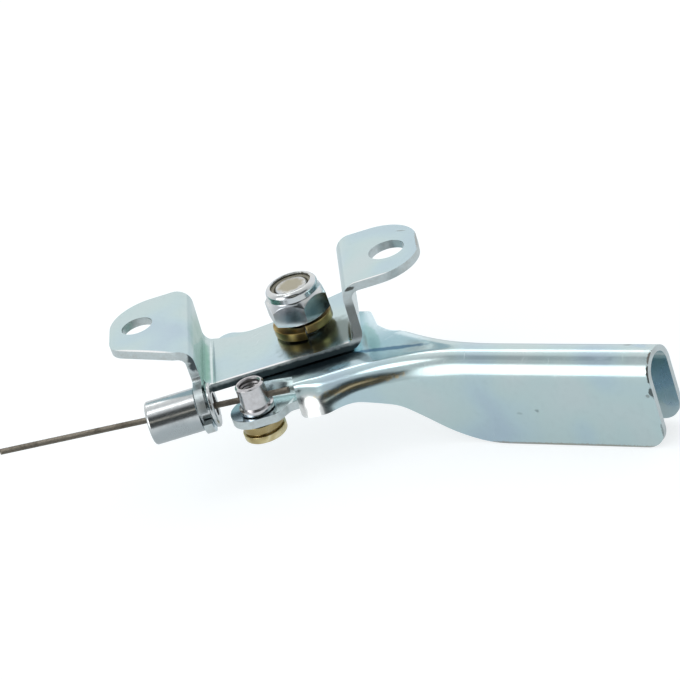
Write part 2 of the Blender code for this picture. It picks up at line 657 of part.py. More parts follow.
def make_barrel(material, parent):
    """Turned barrel on the arm, bored down its axis and across for the wire."""
    foot = ARM_TOP + SEAT_GAP
    outer = BARREL_DIAMETER / 2
    bore = BARREL_BORE / 2
    profile = [(bore, foot), (FOOT_DIAMETER / 2, foot), (FOOT_DIAMETER / 2, foot + FOOT_HEIGHT)]
    profile += [(outer, foot + FOOT_HEIGHT), (outer, BARREL_TOP - BARREL_CHAMFER)]
    profile += [(outer - BARREL_CHAMFER, BARREL_TOP), (bore + BARREL_CHAMFER, BARREL_TOP)]
    profile += [(bore, BARREL_TOP - BARREL_CHAMFER)]
    barrel = add_object("clamp_barrel", turned(profile), material, parent)
    hole = cylinder(WIRE_DIAMETER / 2 + SEAT_GAP, -BARREL_DIAMETER, BARREL_DIAMETER)
    boolean(barrel, add_object("wire_hole", along_wire(hole, WIRE_Z), None, parent))
    return barrel


def make_clamp_screw(material, parent):
    """Screw from below the arm, its grooved head under the arm and its end just under the wire."""
    top = WIRE_Z - WIRE_DIAMETER / 2 - SEAT_GAP
    seat = ARM_TOP - SHEET - SEAT_GAP
    neck = SCREW_NECK_DIAMETER / 2
    head = SCREW_HEAD_DIAMETER / 2
    groove = SCREW_GROOVE_DIAMETER / 2
    shank = SCREW_DIAMETER / 2
    groove_top = seat - SCREW_NECK_HEIGHT
    head_top = groove_top - SCREW_GROOVE_HEIGHT
    foot = head_top - SCREW_HEAD_HEIGHT
    profile = [(0, foot)]
    profile += arc((head - SCREW_HEAD_ROUND, foot + SCREW_HEAD_ROUND), SCREW_HEAD_ROUND, -QUARTER, 0)
    profile += [(head, head_top), (groove, head_top), (groove, groove_top), (neck, groove_top), (neck, seat)]
    profile += [(shank, seat), (shank, top), (0, top)]
    return add_object("clamp_screw", turned(profile), material, parent)


def make_wire(material, parent):
    """Bare inner wire through the barrel, running left through the ferrule."""
    radius = WIRE_DIAMETER / 2
    profile = [(0, -WIRE_LEFT), (radius, -WIRE_LEFT), (radius, WIRE_RIGHT), (0, WIRE_RIGHT)]
    wire = along_wire(turned(profile, BORE_SIDES // 2), WIRE_Z)
    return add_object("inner_wire", wire, material, parent)


def make_ferrule(material, parent):
    """Turned ferrule held by its neck in the fork: casing socket to the left, flange to the right."""
    shoulder = LEFT_LEG_X - SHEET - SEAT_GAP
    flange = LEFT_LEG_X + SEAT_GAP
    end = flange + FERRULE_FLANGE
    start = shoulder - FERRULE_BODY_LENGTH
    body = FERRULE_DIAMETER / 2
    rim = FERRULE_FLANGE_DIAMETER / 2
    soft = FERRULE_ROUND
    profile = [(CASING_BORE / 2, start), (body - soft, start)]
    profile += [(body, start + soft), (body, shoulder), (FERRULE_NECK_DIAMETER / 2, shoulder)]
    profile += [(FERRULE_NECK_DIAMETER / 2, flange), (rim - soft / 2, flange), (rim, flange + soft / 2)]
    profile += [(rim, end - soft / 2), (rim - soft / 2, end), (FERRULE_BORE / 2, end)]
    profile += [(FERRULE_BORE / 2, start + CASING_DEPTH), (CASING_BORE / 2, start + CASING_DEPTH)]
    ferrule = along_wire(turned(profile), 0)
    return add_object("cable_ferrule", ferrule, material, parent, (0, FERRULE_Y, FERRULE_Z))


# Materials


def metal(name, colour, roughness, metallic=1.0):
    """Principled material with one colour."""
    material = bpy.data.materials.new(name)
    material.use_nodes = True
    shader = material.node_tree.nodes["Principled BSDF"]
    shader.inputs["Base Color"].default_value = (*colour, 1)
    shader.inputs["Roughness"].default_value = roughness
    shader.inputs["Metallic"].default_value = metallic
    return material


def frame(name, parent, location, angle=0.0):
    """Empty that carries the pieces of one body."""
    made = bpy.data.objects.new(name, None)
    bpy.context.scene.collection.objects.link(made)
    made.parent = parent
    made.location = location
    made.rotation_euler = (0, 0, angle)
    return made


def main():
    """Builds the throttle lever at rest."""
    for old in list(bpy.data.objects):
        bpy.data.objects.remove(old)
    zinc = metal("blue_zinc", (0.52, 0.62, 0.66), 0.28)
    bright = metal("bright_zinc", (0.66, 0.68, 0.70), 0.22)
    yellow = metal("yellow_zinc", (0.45, 0.37, 0.20), 0.35)
    machined = metal("machined_steel", (0.55, 0.54, 0.55), 0.32)
    wire = metal("wire_steel", (0.30, 0.27, 0.23), 0.42)
    nylon = metal("grey_nylon", (0.10, 0.10, 0.10), 0.50, 0.0)

    middle_x = (LEFT_HOLE_X + RIGHT_HOLE_X) / 2
    pivot = frame("pivot_frame", None, (-middle_x, -HOLE_Y, -EAR_RISE))
    make_bracket(zinc, pivot)
    make_bolt(bright, pivot)
    make_spring_washer(yellow, pivot)
    make_nut(bright, pivot)
    make_insert(nylon, pivot)
    make_ferrule(machined, pivot)
    lever_frame = frame("lever_frame", pivot, (0, 0, 0))
    make_lever(zinc, lever_frame)
    clamp_frame = frame("clamp_frame", lever_frame, (CLAMP_X, CLAMP_Y, 0), WIRE_ANGLE)
    make_barrel(machined, clamp_frame)
    make_clamp_screw(yellow, clamp_frame)
    make_wire(wire, clamp_frame)


if __name__ == "__main__":
    main()
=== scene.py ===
"""Looks of a garden machine's throttle lever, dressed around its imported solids.

Lengths are in metres. Shapes are worked out in the pivot's frame, whose origin lies on the bolt's axis at the
top of the bracket's base, and are then set down in the row's frame.
"""

from __future__ import annotations

import json
import logging
import math
from collections.abc import Callable, Mapping, Sequence
from dataclasses import dataclass, field
from enum import Enum

import bmesh
import bpy
from mathutils import Matrix, Vector


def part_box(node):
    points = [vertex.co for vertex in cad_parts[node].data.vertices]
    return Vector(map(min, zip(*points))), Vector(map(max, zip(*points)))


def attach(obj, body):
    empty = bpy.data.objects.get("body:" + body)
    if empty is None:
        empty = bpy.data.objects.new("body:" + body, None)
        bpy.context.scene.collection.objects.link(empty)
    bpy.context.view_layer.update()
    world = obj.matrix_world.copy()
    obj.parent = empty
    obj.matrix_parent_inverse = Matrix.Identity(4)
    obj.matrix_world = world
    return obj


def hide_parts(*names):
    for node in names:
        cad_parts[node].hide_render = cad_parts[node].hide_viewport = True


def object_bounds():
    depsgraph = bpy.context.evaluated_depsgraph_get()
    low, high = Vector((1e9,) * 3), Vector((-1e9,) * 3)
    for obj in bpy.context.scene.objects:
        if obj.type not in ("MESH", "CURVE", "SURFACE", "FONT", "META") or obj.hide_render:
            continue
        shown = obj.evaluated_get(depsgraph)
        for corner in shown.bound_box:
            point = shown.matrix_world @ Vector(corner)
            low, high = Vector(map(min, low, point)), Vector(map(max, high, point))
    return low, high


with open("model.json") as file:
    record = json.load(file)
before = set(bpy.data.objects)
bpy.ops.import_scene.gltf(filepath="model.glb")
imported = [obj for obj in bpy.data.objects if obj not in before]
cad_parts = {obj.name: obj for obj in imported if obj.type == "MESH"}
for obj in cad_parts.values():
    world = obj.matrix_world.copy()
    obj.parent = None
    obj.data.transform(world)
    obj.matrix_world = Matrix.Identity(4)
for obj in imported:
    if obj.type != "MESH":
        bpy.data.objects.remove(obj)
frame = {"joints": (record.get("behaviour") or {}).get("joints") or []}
CAD_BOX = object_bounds()

Point = tuple[float, float]
Spot = tuple[float, float, float]
Corner = tuple[float, float, float]
Colour = tuple[float, float, float]
Solid = bmesh.types.BMesh
Placing = Callable[[float, float, float], Spot]

PHOTO_PIXELS = 680
SENSOR = 36.0
QUARTER = math.pi / 2
TINY = 1e-7
MEAN_NOISE = 0.5
log = logging.getLogger("throttle_lever")


class Body(Enum):
    """Bodies that pieces ride on."""

    BRACKET = "bracket"
    LEVER = "lever"
    CLAMP = "cable_clamp"


class Join(Enum):
    """Ways in which one solid acts on another."""

    CUT = "DIFFERENCE"
    ADD = "UNION"
    KEEP = "INTERSECT"


class Slot(Enum):
    """The record's material slots."""

    BLUE_ZINC = "blue_zinc"
    BRIGHT_ZINC = "bright_zinc"
    YELLOW_ZINC = "yellow_zinc"
    MACHINED = "machined_steel"
    WIRE = "wire_steel"
    NYLON = "grey_nylon"


class Face(Enum):
    """Places of the two finishes on a sheet-metal piece."""

    PLATED = 0
    SHEARED = 1


@dataclass(frozen=True)
class Stock:
    """Sizes that several pieces share.

    Attributes:
        sheet: thickness of the pressed steel.
        seat_gap: clearance of pieces that seat on each other.
        running_gap: clearance of pieces that turn on each other.
        overrun: how far a cutter passes the faces it cuts.
        merge: distance under which points become one.
        arc_step: angle between the points of an arc.
        sides: sides of a round piece.
        bolt: radius of the pivot bolt.
        sheet_edge: rounding of a sheared edge.
        turned_edge: rounding of a machined edge.
        edge_angle: least angle at which an edge is rounded.
        edge_segments: strips in a rounded edge.
    """

    sheet: float = 0.0020
    seat_gap: float = 0.0003
    running_gap: float = 0.0001
    overrun: float = 0.0010
    merge: float = 0.000003
    arc_step: float = math.radians(5)
    sides: int = 96
    bolt: float = 0.0040
    sheet_edge: float = 0.00038
    turned_edge: float = 0.00012
    edge_angle: float = math.radians(32)
    edge_segments: int = 3


STOCK = Stock()
HALF = STOCK.sheet / 2


def spaced(start: float, end: float, count: int) -> list[float]:
    """Values from start to end, both included, in a number of equal steps."""
    return [start + (end - start) * i / count for i in range(count + 1)]


def eased(value: float, low: float, high: float) -> float:
    """Smooth step from 0 at low to 1 at high, where low may be the larger."""
    share = min(max((value - low) / (high - low), 0.0), 1.0)
    return share * share * (3 - 2 * share)


def arc(centre: Point, radius: float, start: float, end: float) -> list[Point]:
    """Points of an arc, both ends included.

    Args:
        centre: middle of the arc.
        radius: its radius.
        start: angle of its first point.
        end: angle of its last point.

    Returns:
        The points in order.
    """
    steps = max(2, math.ceil(abs(end - start) / STOCK.arc_step))
    x, y = centre
    return [(x + radius * math.cos(a), y + radius * math.sin(a)) for a in spaced(start, end, steps)]


def rounded(corners: Sequence[Corner]) -> list[Point]:
    """Closed outline with an arc in place of each corner.

    Args:
        corners: (x, y, radius) of each corner, in order.

    Returns:
        The outline's points.
    """
    points: list[Point] = []
    for i, (x, y, radius) in enumerate(corners):
        here = Vector((x, y))
        before = (Vector(corners[i - 1][:2]) - here).normalized()
        after = (Vector(corners[(i + 1) % len(corners)][:2]) - here).normalized()
        if radius == 0:
            points.append((x, y))
            continue
        half = before.angle(after) / 2
        centre = here + (before + after).normalized() * radius / math.sin(half)
        start = here + before * radius / math.tan(half) - centre
        turn = start.angle_signed(here + after * radius / math.tan(half) - centre)
        first = math.atan2(start.y, start.x)
        points += arc(centre, radius, first, first - turn)
    return points


@dataclass(frozen=True)
class Thread:
    """A screw thread cut into, or standing on, a round surface.

    Attributes:
        radius: radius of the surface that carries it.
        pitch: rise in one turn.
        depth: how far its crests stand off that surface, outward if positive.
        low: height at which it starts.
        high: height at which it ends.
        stations: rings of points in one turn.
    """

    radius: float
    pitch: float
    depth: float
    low: float
    high: float
    stations: int = 10

    def heights(self) -> list[float]:
        """Heights of the rings of points that carry the thread."""
        count = math.ceil((self.high - self.low) / self.pitch * self.stations)
        return spaced(self.low, self.high, count)

    def rise(self, radius: float, height: float, angle: float) -> float:
        """How far a point stands off its surface.

        Args:
            radius: the point's distance from the axis.
            height: its height.
            angle: its angle round the axis.

        Returns:
            The distance to add to its radius.
        """
        if abs(radius - self.radius) > TINY or not self.low <= height <= self.high:
            return 0.0
        turns = (height - self.low) / self.pitch - angle / (2 * math.pi)
        runout = min(1.0, (height - self.low) / self.pitch, (self.high - height) / self.pitch)
        return self.depth * runout * (1 - abs(2 * (turns % 1.0) - 1))


def solid_from_rings(rings: Sequence[Sequence[bmesh.types.BMVert]], form: Solid, closed: bool) -> None:
    """Joins neighbouring rings of points with faces.

    Args:
        rings: rings of equal length, or of one point on the axis.
        form: mesh that holds them.
        closed: whether the last ring joins the first.
    """
    pairs = list(zip(rings, rings[1:]))
    if closed:
        pairs.append((rings[-1], rings[0]))
    for a, b in pairs:
        count = max(len(a), len(b))
        if count == 1:
            continue
        for k in range(count):
            nxt = (k + 1) % count
            loop = (a[k % len(a)], a[nxt % len(a)], b[nxt % len(b)], b[k % len(b)])
            form.faces.new(dict.fromkeys(loop))


def revolve(profile: Sequence[Point], sides: int = STOCK.sides, thread: Thread | None = None) -> Solid:
    """Solid of revolution about Z.

    Args:
        profile: closed (radius, height) points.
        sides: points round the axis.
        thread: a thread that the surface carries.

    Returns:
        The closed mesh.
    """
    form = bmesh.new()
    rings = []
    for radius, height in profile:
        if radius < TINY:
            rings.append([form.verts.new((0, 0, height))])
            continue
        ring = []
        for k in range(sides):
            angle = 2 * math.pi * k / sides
            reach = radius + (thread.rise(radius, height, angle) if thread else 0.0)
            ring.append(form.verts.new((reach * math.cos(angle), reach * math.sin(angle), height)))
        rings.append(ring)
    solid_from_rings(rings, form, closed=True)
    return form


def prism(outline: Sequence[Point], low: float, high: float) -> Solid:
    """Upright solid over a plan outline.

    Args:
        outline: its corners.
        low: height of its foot.
        high: height of its top.

    Returns:
        The closed mesh.
    """
    form = bmesh.new()
    foot = form.faces.new([form.verts.new((x, y, low)) for x, y in outline])
    raised = bmesh.ops.extrude_face_region(form, geom=[foot])["geom"]
    verts = [v for v in raised if isinstance(v, bmesh.types.BMVert)]
    bmesh.ops.translate(form, vec=(0, 0, high - low), verts=verts)
    return form


def drill(radius: float, low: float, high: float) -> Solid:
    """Upright round solid on the Z axis, from one height to another."""
    return revolve([(0, low), (radius, low), (radius, high), (0, high)])


def laid_along_x(form: Solid, z: float) -> Solid:
    """Turns an upright solid so that it lies along X.

    Args:
        form: the solid.
        z: height at which it lies.

    Returns:
        The same solid.
    """
    laid = Matrix.Translation((0, 0, z)) @ Matrix.Rotation(QUARTER, 4, "Y")
    bmesh.ops.transform(form, matrix=laid, verts=form.verts)
    return form


@dataclass(frozen=True)
class Cut:
    """A line that divides a flat blank into cells.

    Attributes:
        point: a point of the line.
        across: the direction square to it.
        low: least x of the cells that it divides.
        high: greatest x of those cells.
    """

    point: Point
    across: Point
    low: float = -math.inf
    high: float = math.inf


@dataclass(frozen=True)
class PressedSheet:
    """A flat blank of sheet steel and the press that gives it its form.

    Attributes:
        outline: the blank's outline.
        cuts: lines that divide it wherever it is curved.
        place: puts a point of the blank, n off its middle surface, in space.
    """

    outline: Sequence[Point]
    cuts: Sequence[Cut]
    place: Placing

    def blank(self) -> Solid:
        """Flat outline divided into cells.

        Returns:
            The cells, as one open mesh.
        """
        form = bmesh.new()
        form.faces.new([form.verts.new((x, y, 0)) for x, y in self.outline])
        form.normal_update()
        for cut in self.cuts:
            faces = [f for f in form.faces if cut.low < f.calc_center_median().x < cut.high]
            edges = {e for f in faces for e in f.edges}
            verts = {v for f in faces for v in f.verts}
            bmesh.ops.bisect_plane(form, geom=[*verts, *edges, *faces], dist=STOCK.merge,
                                   plane_co=(*cut.point, 0), plane_no=(*cut.across, 0))
        return form

    def pressed(self) -> Solid:
        """Gives the blank its form and its thickness.

        Returns:
            The closed mesh, its cut edges marked as sheared.
        """
        flat = self.blank()
        form = bmesh.new()
        top = {v: form.verts.new(self.place(v.co.x, v.co.y, HALF)) for v in flat.verts}
        bottom = {v: form.verts.new(self.place(v.co.x, v.co.y, -HALF)) for v in flat.verts}
        for face in flat.faces:
            form.faces.new([top[v] for v in face.verts])
            form.faces.new([bottom[v] for v in reversed(face.verts)])
        for edge in flat.edges:
            if edge.is_boundary:
                a, b = edge.verts
                side = form.faces.new((top[a], bottom[a], bottom[b], top[b]))
                side.material_index = Face.SHEARED.value
        flat.free()
        form.normal_update()
        bmesh.ops.triangulate(form, faces=[f for f in form.faces if len(f.verts) > 4])
        return form


class Socket:
    """A shader value that Python's operators combine into Math nodes."""

    def __init__(self, shader: Shader, link: bpy.types.NodeSocket) -> None:
        """Keeps the tree and the output that it stands for."""
        self.shader = shader
        self.link = link

    def _math(self, operation: str, *values: Socket | float) -> Socket:
        """Adds a Math node over the given values."""
        return self.shader.node("ShaderNodeMath", {"operation": operation}, dict(enumerate(values)))

    def __add__(self, other: Socket | float) -> Socket:
        """Sum."""
        return self._math("ADD", self, other)

    def __radd__(self, other: float) -> Socket:
        """Sum with the number first."""
        return self._math("ADD", other, self)

    def __sub__(self, other: Socket | float) -> Socket:
        """Difference."""
        return self._math("SUBTRACT", self, other)

    def __rsub__(self, other: float) -> Socket:
        """Difference with the number first."""
        return self._math("SUBTRACT", other, self)

    def __mul__(self, other: Socket | float) -> Socket:
        """Product."""
        return self._math("MULTIPLY", self, other)

    def __rmul__(self, other: float) -> Socket:
        """Product with the number first."""
        return self._math("MULTIPLY", other, self)

    def largest(self, other: Socket | float) -> Socket:
        """The larger of two values."""
        return self._math("MAXIMUM", self, other)

    def eased(self, low: float, high: float) -> Socket:
        """Smooth step from 0 at low to 1 at high.

        Args:
            low: value that gives 0.
            high: value that gives 1.

        Returns:
            The eased value.
        """
        sockets = {"Value": self, "From Min": low, "From Max": high}
        return self.shader.node("ShaderNodeMapRange", {"interpolation_type": "SMOOTHSTEP"}, sockets)

    def part(self, axis: int) -> Socket:
        """One component of a vector."""
        return self.shader.node("ShaderNodeSeparateXYZ", {}, {"Vector": self}, output=axis)


class Shader:
    """A node tree and the one way in which nodes are added to it."""

    def __init__(self, tree: bpy.types.NodeTree) -> None:
        """Empties the node tree of a material or a world."""
        self.tree = tree
        tree.nodes.clear()

    def node(self, kind: str, settings: Mapping[str, object] | None = None,
             sockets: Mapping[str | int, object] | None = None, output: str | int = 0) -> Socket:
        """Adds a node.

        Args:
            kind: the node's type.
            settings: its properties, set first; "stops" holds a ramp's (place, colour) pairs.
            sockets: values or links of its inputs.
            output: the output to return.

        Returns:
            The chosen output.
        """
        made = self.tree.nodes.new(kind)
        for name, value in (settings or {}).items():
            if name == "stops":
                self._set_stops(made.color_ramp, value)
            else:
                setattr(made, name, value)
        for name, value in (sockets or {}).items():
            target = made.inputs[name]
            if isinstance(value, Socket):
                self.tree.links.new(value.link, target)
            elif isinstance(value, tuple) and len(value) == 3 and target.type == "RGBA":
                target.default_value = (*value, 1)
            else:
                target.default_value = value
        return Socket(self, made.outputs[output] if made.outputs else None)

    @staticmethod
    def _set_stops(ramp: bpy.types.ColorRamp, stops: Sequence[tuple[float, Colour]]) -> None:
        """Gives a colour ramp its stops.

        Args:
            ramp: the ramp.
            stops: place and colour of each stop.
        """
        while len(ramp.elements) < len(stops):
            ramp.elements.new(1.0)
        for element, (place, colour) in zip(ramp.elements, stops):
            element.position = place
            element.color = (*colour, 1)

    def place(self) -> Socket:
        """Place on the piece, in its own frame."""
        return self.node("ShaderNodeTexCoord", output="Object")

    def rays(self) -> tuple[Socket, Socket]:
        """What kind of ray meets a surface.

        Returns:
            1 for the camera's own rays, and 1 for those that metal or glass sends on.
        """
        names = ("Is Camera Ray", "Is Glossy Ray", "Is Transmission Ray")
        camera, glossy, through = (self.node("ShaderNodeLightPath", output=name) for name in names)
        return camera, glossy.largest(through)

    def away(self, place: Socket, centre: Sequence[float], reach: Spot,
             turn: Spot = (0, 0, 0)) -> Socket:
        """Distance from the middle of an ellipsoid, 1 at its border.

        Args:
            place: where it is read.
            centre: its middle.
            reach: its half lengths.
            turn: how its axes are turned.

        Returns:
            The distance.
        """
        sockets = {"Vector": place, "Location": tuple(centre), "Rotation": turn, "Scale": reach}
        local = self.node("ShaderNodeMapping", {"vector_type": "TEXTURE"}, sockets)
        return self.node("ShaderNodeVectorMath", {"operation": "LENGTH"}, {0: local}, output="Value")

    def noise(self, place: Socket, feature: float, detail: float = 2.0, warp: float = 0.0) -> Socket:
        """Cloudy value.

        Args:
            place: where it is read.
            feature: size of one cloud, in metres.
            detail: how many finer octaves it holds.
            warp: how much it folds on itself.

        Returns:
            The value, about 0.5 on average.
        """
        sockets = {"Vector": place, "Scale": 1 / feature, "Detail": detail, "Distortion": warp}
        return self.node("ShaderNodeTexNoise", {}, sockets)

    def stretched(self, place: Socket, lengths: Spot, turn: float = 0.0) -> Socket:
        """Place measured in units of three lengths, along axes turned about Z."""
        sockets = {"Vector": place, "Scale": lengths, "Rotation": (0, 0, turn)}
        return self.node("ShaderNodeMapping", {"vector_type": "TEXTURE"}, sockets)

    def mixed(self, share: Socket | float, first: Socket | Colour, second: Socket | Colour,
              blend: str = "MIX") -> Socket:
        """Mix of two colours.

        Args:
            share: how much of the second there is.
            first: the colour at 0.
            second: the colour at 1.
            blend: how the second is laid on the first.

        Returns:
            The mixed colour.
        """
        return self.node("ShaderNodeMix", {"data_type": "RGBA", "blend_type": blend},
                         {0: share, 6: first, 7: second}, output=2)


@dataclass(frozen=True)
class Mark:
    """A stain, scuff or small dent, or a painted highlight, reflection or shade, inside an ellipsoid.

    Attributes:
        centre: its middle, in the pivot's frame.
        reach: how far it reaches along its own X, Y and Z.
        colour: its colour.
        strength: how much of that colour it lays on, from 0 to 1.
        turn: how far its axes are turned about Z.
        rough: what it adds to the roughness.
        ragged: how broken its border is.
        core: share of its reach that has its full colour.
        finest: least size of the breaks in its border.
    """

    centre: Spot
    reach: Spot
    colour: Colour
    strength: float = 1.0
    turn: float = 0.0
    rough: float = 0.2
    ragged: float = 0.6
    core: float = 0.55
    finest: float = 0.0003

    def mask(self, shader: Shader, place: Socket, origin: Vector) -> Socket:
        """Share of the mark at each point.

        Args:
            shader: the material's tree.
            place: place on the piece.
            origin: where the pivot's frame lies in the row's.

        Returns:
            A value from 0 to its strength.
        """
        distance = shader.away(place, origin + Vector(self.centre), self.reach, (0, 0, self.turn))
        broken = shader.noise(place, max(min(self.reach), self.finest), 3.0) - MEAN_NOISE
        return (1 - (distance + broken * (2 * self.ragged)).eased(self.core, 1.0)) * self.strength


@dataclass(frozen=True, kw_only=True)
class Finish:
    """How a piece's faces look, clean, with the marks of wear and with painted highlights, reflections and
    shade.

    Attributes:
        name: the material's name.
        roughness: its roughness where it is clean.
        metallic: 1 for metal, 0 for plastic.
        marks: stains, scuffs and dents on it, and painted highlights, reflections and shade.
    """

    name: str
    roughness: float
    metallic: float = 1.0
    marks: tuple[Mark, ...] = ()

    def surface(self, shader: Shader, place: Socket) -> tuple[Socket, Socket, Socket]:
        """Clean surface, which each kind of finish works out in its own way.

        Args:
            shader: the material's tree.
            place: place on the piece.

        Returns:
            Its colour, its roughness and its relief in metres.
        """
        raise NotImplementedError

    def material(self, origin: Vector) -> bpy.types.Material:
        """Builds the material.

        Args:
            origin: where the pivot's frame lies in the row's.

        Returns:
            The finished material.
        """
        material, shader = new_material(self.name)
        place = shader.place()
        colour, rough, height = self.surface(shader, place)
        for mark in self.marks:
            mask = mark.mask(shader, place, origin)
            colour = shader.mixed(mask, colour, mark.colour)
            rough = rough + mask * mark.rough
        normal = shader.node("ShaderNodeBump", {}, {"Strength": 1.0, "Distance": 1.0, "Height": height})
        sockets = {"Base Color": colour, "Roughness": rough, "Metallic": self.metallic, "Normal": normal}
        surface = shader.node("ShaderNodeBsdfPrincipled", {}, sockets)
        shader.node("ShaderNodeOutputMaterial", {}, {"Surface": surface})
        return material


@dataclass(frozen=True, kw_only=True)
class Plating(Finish):
    """Zinc plate on steel, with the soft colours of its passivation.

    Attributes:
        tints: the colours that it drifts between.
        tint_places: where each tint lies on the scale of its drift.
        cloud: size of its drifts of colour.
        mottle: colour of its fine mottle.
        mottle_share: how much of that colour shows.
        mottle_rough: how much the mottle roughens it.
        haze_rough: how much a haze roughens it.
        scratched: colour of its scratches.
        scratched_share: how much of that colour shows.
        grain: height of its fine orange peel.
        peel: size of that peel.
        scratch: how much scratches roughen it.
        scratch_depth: how deep they are.
    """

    tints: tuple[Colour, Colour, Colour, Colour]
    tint_places: tuple[float, float, float, float] = (0.30, 0.44, 0.56, 0.72)
    roughness: float = 0.13
    cloud: float = 0.016
    mottle: Colour = (0.34, 0.42, 0.46)
    mottle_share: float = 0.10
    mottle_rough: float = 0.04
    haze_rough: float = 0.07
    scratched: Colour = (0.78, 0.82, 0.83)
    scratched_share: float = 0.15
    grain: float = 0.000004
    peel: float = 0.0009
    scratch: float = 0.12
    scratch_depth: float = 0.0000022

    def surface(self, shader: Shader, place: Socket) -> tuple[Socket, Socket, Socket]:
        """Plate that drifts in colour, with a mottle, a haze and scratches.

        Args:
            shader: the material's tree.
            place: place on the piece.

        Returns:
            Its colour, its roughness and its relief in metres.
        """
        stops = list(zip(self.tint_places, self.tints))
        drift = shader.noise(place, self.cloud, 1.0, 0.15)
        colour = shader.node("ShaderNodeValToRGB", {"stops": stops}, {0: drift})
        mottle = shader.noise(place, self.cloud / 12, 4.0)
        colour = shader.mixed(mottle.eased(0.45, 0.85) * self.mottle_share, colour, self.mottle)
        lines = self.scratches(shader, place)
        haze = shader.noise(place, self.cloud / 2, 3.0, 1.2).eased(0.35, 0.75)
        rough = self.roughness + haze * self.haze_rough + mottle * self.mottle_rough + lines * self.scratch
        colour = shader.mixed(lines * self.scratched_share, colour, self.scratched)
        return colour, rough, shader.noise(place, self.peel, 3.0) * self.grain - lines * self.scratch_depth

    @staticmethod
    def scratches(shader: Shader, place: Socket) -> Socket:
        """Fine handling scratches in three directions.

        Args:
            shader: the material's tree.
            place: place on the piece.

        Returns:
            1 on a scratch, 0 beside it.
        """
        lines = None
        for turn, low in ((0.5, 0.700), (-0.35, 0.715), (1.25, 0.720)):
            streak = shader.noise(shader.stretched(place, (0.010, 0.00022, 0.010), turn), 1.0, 2.0)
            patch = shader.noise(shader.stretched(place, (0.012, 0.012, 0.012), turn), 1.0, 1.0)
            line = streak.eased(low, low + 0.05) * patch.eased(0.5, 0.62)
            lines = line if lines is None else lines.largest(line)
        return lines


@dataclass(frozen=True, kw_only=True)
class Turned(Finish):
    """Metal left as the lathe, the die or the shear left it.

    Attributes:
        colour: its clean colour.
        shade: its colour in the tool marks and in dirt.
        grain: size of its tool marks.
        depth: height of those marks.
        dirt: how much dirt lies on it.
        patch: size of a patch of dirt.
        dirt_share: how far dirt turns it to its shade.
        dirt_rough: how much dirt roughens it.
        mark_share: how far tool marks turn it to its shade.
        mark_rough: how much tool marks roughen it.
    """

    colour: Colour
    shade: Colour
    grain: float
    depth: float
    dirt: float
    patch: float = 0.0035
    dirt_share: float = 0.6
    dirt_rough: float = 0.18
    mark_share: float = 0.5
    mark_rough: float = 0.08

    def surface(self, shader: Shader, place: Socket) -> tuple[Socket, Socket, Socket]:
        """Metal with tool marks and patches of dirt.

        Args:
            shader: the material's tree.
            place: place on the piece.

        Returns:
            Its colour, its roughness and its relief in metres.
        """
        marks = shader.noise(place, self.grain, 3.0, 0.5)
        soil = shader.noise(place, self.patch, 4.0, 0.8).eased(0.42, 0.78) * self.dirt
        shaded = (marks - MEAN_NOISE / 2) * self.mark_share + soil * self.dirt_share
        rough = self.roughness + soil * self.dirt_rough + marks * self.mark_rough
        return shader.mixed(shaded, self.colour, self.shade), rough, marks * self.depth


@dataclass(frozen=True, kw_only=True)
class Nylon(Finish):
    """Dull nylon of the nut's locking ring.

    Attributes:
        colour: its colour.
        scuffed: its colour where it is scuffed.
        scuff_share: how much of that colour shows.
        scuff_rough: how much a scuff roughens it.
        grain: size of a scuff.
        depth: height of a scuff.
    """

    colour: Colour
    scuffed: Colour
    scuff_share: float = 0.5
    scuff_rough: float = 0.15
    grain: float = 0.0008
    depth: float = 0.00001

    def surface(self, shader: Shader, place: Socket) -> tuple[Socket, Socket, Socket]:
        """Plastic with pale scuffs.

        Args:
            shader: the material's tree.
            place: place on the piece.

        Returns:
            Its colour, its roughness and its relief in metres.
        """
        scuff = shader.noise(place, self.grain, 4.0).eased(0.5, 0.8)
        colour = shader.mixed(scuff * self.scuff_share, self.colour, self.scuffed)
        return colour, self.roughness + scuff * self.scuff_rough, scuff * self.depth


def new_material(name: str) -> tuple[bpy.types.Material, Shader]:
    """An empty material and its shader tree.

    Args:
        name: the material's name.

    Returns:
        The material and its tree.
    """
    material = bpy.data.materials.new(name)
    material.use_nodes = True
    return material, Shader(material.node_tree)


def in_scene(name: str, data: bpy.types.ID) -> bpy.types.Object:
    """Object that holds a mesh, a lamp or a camera, put in the scene.

    Args:
        name: the object's name.
        data: what it holds.

    Returns:
        The object.
    """
    made = bpy.data.objects.new(name, data)
    bpy.context.scene.collection.objects.link(made)
    return made


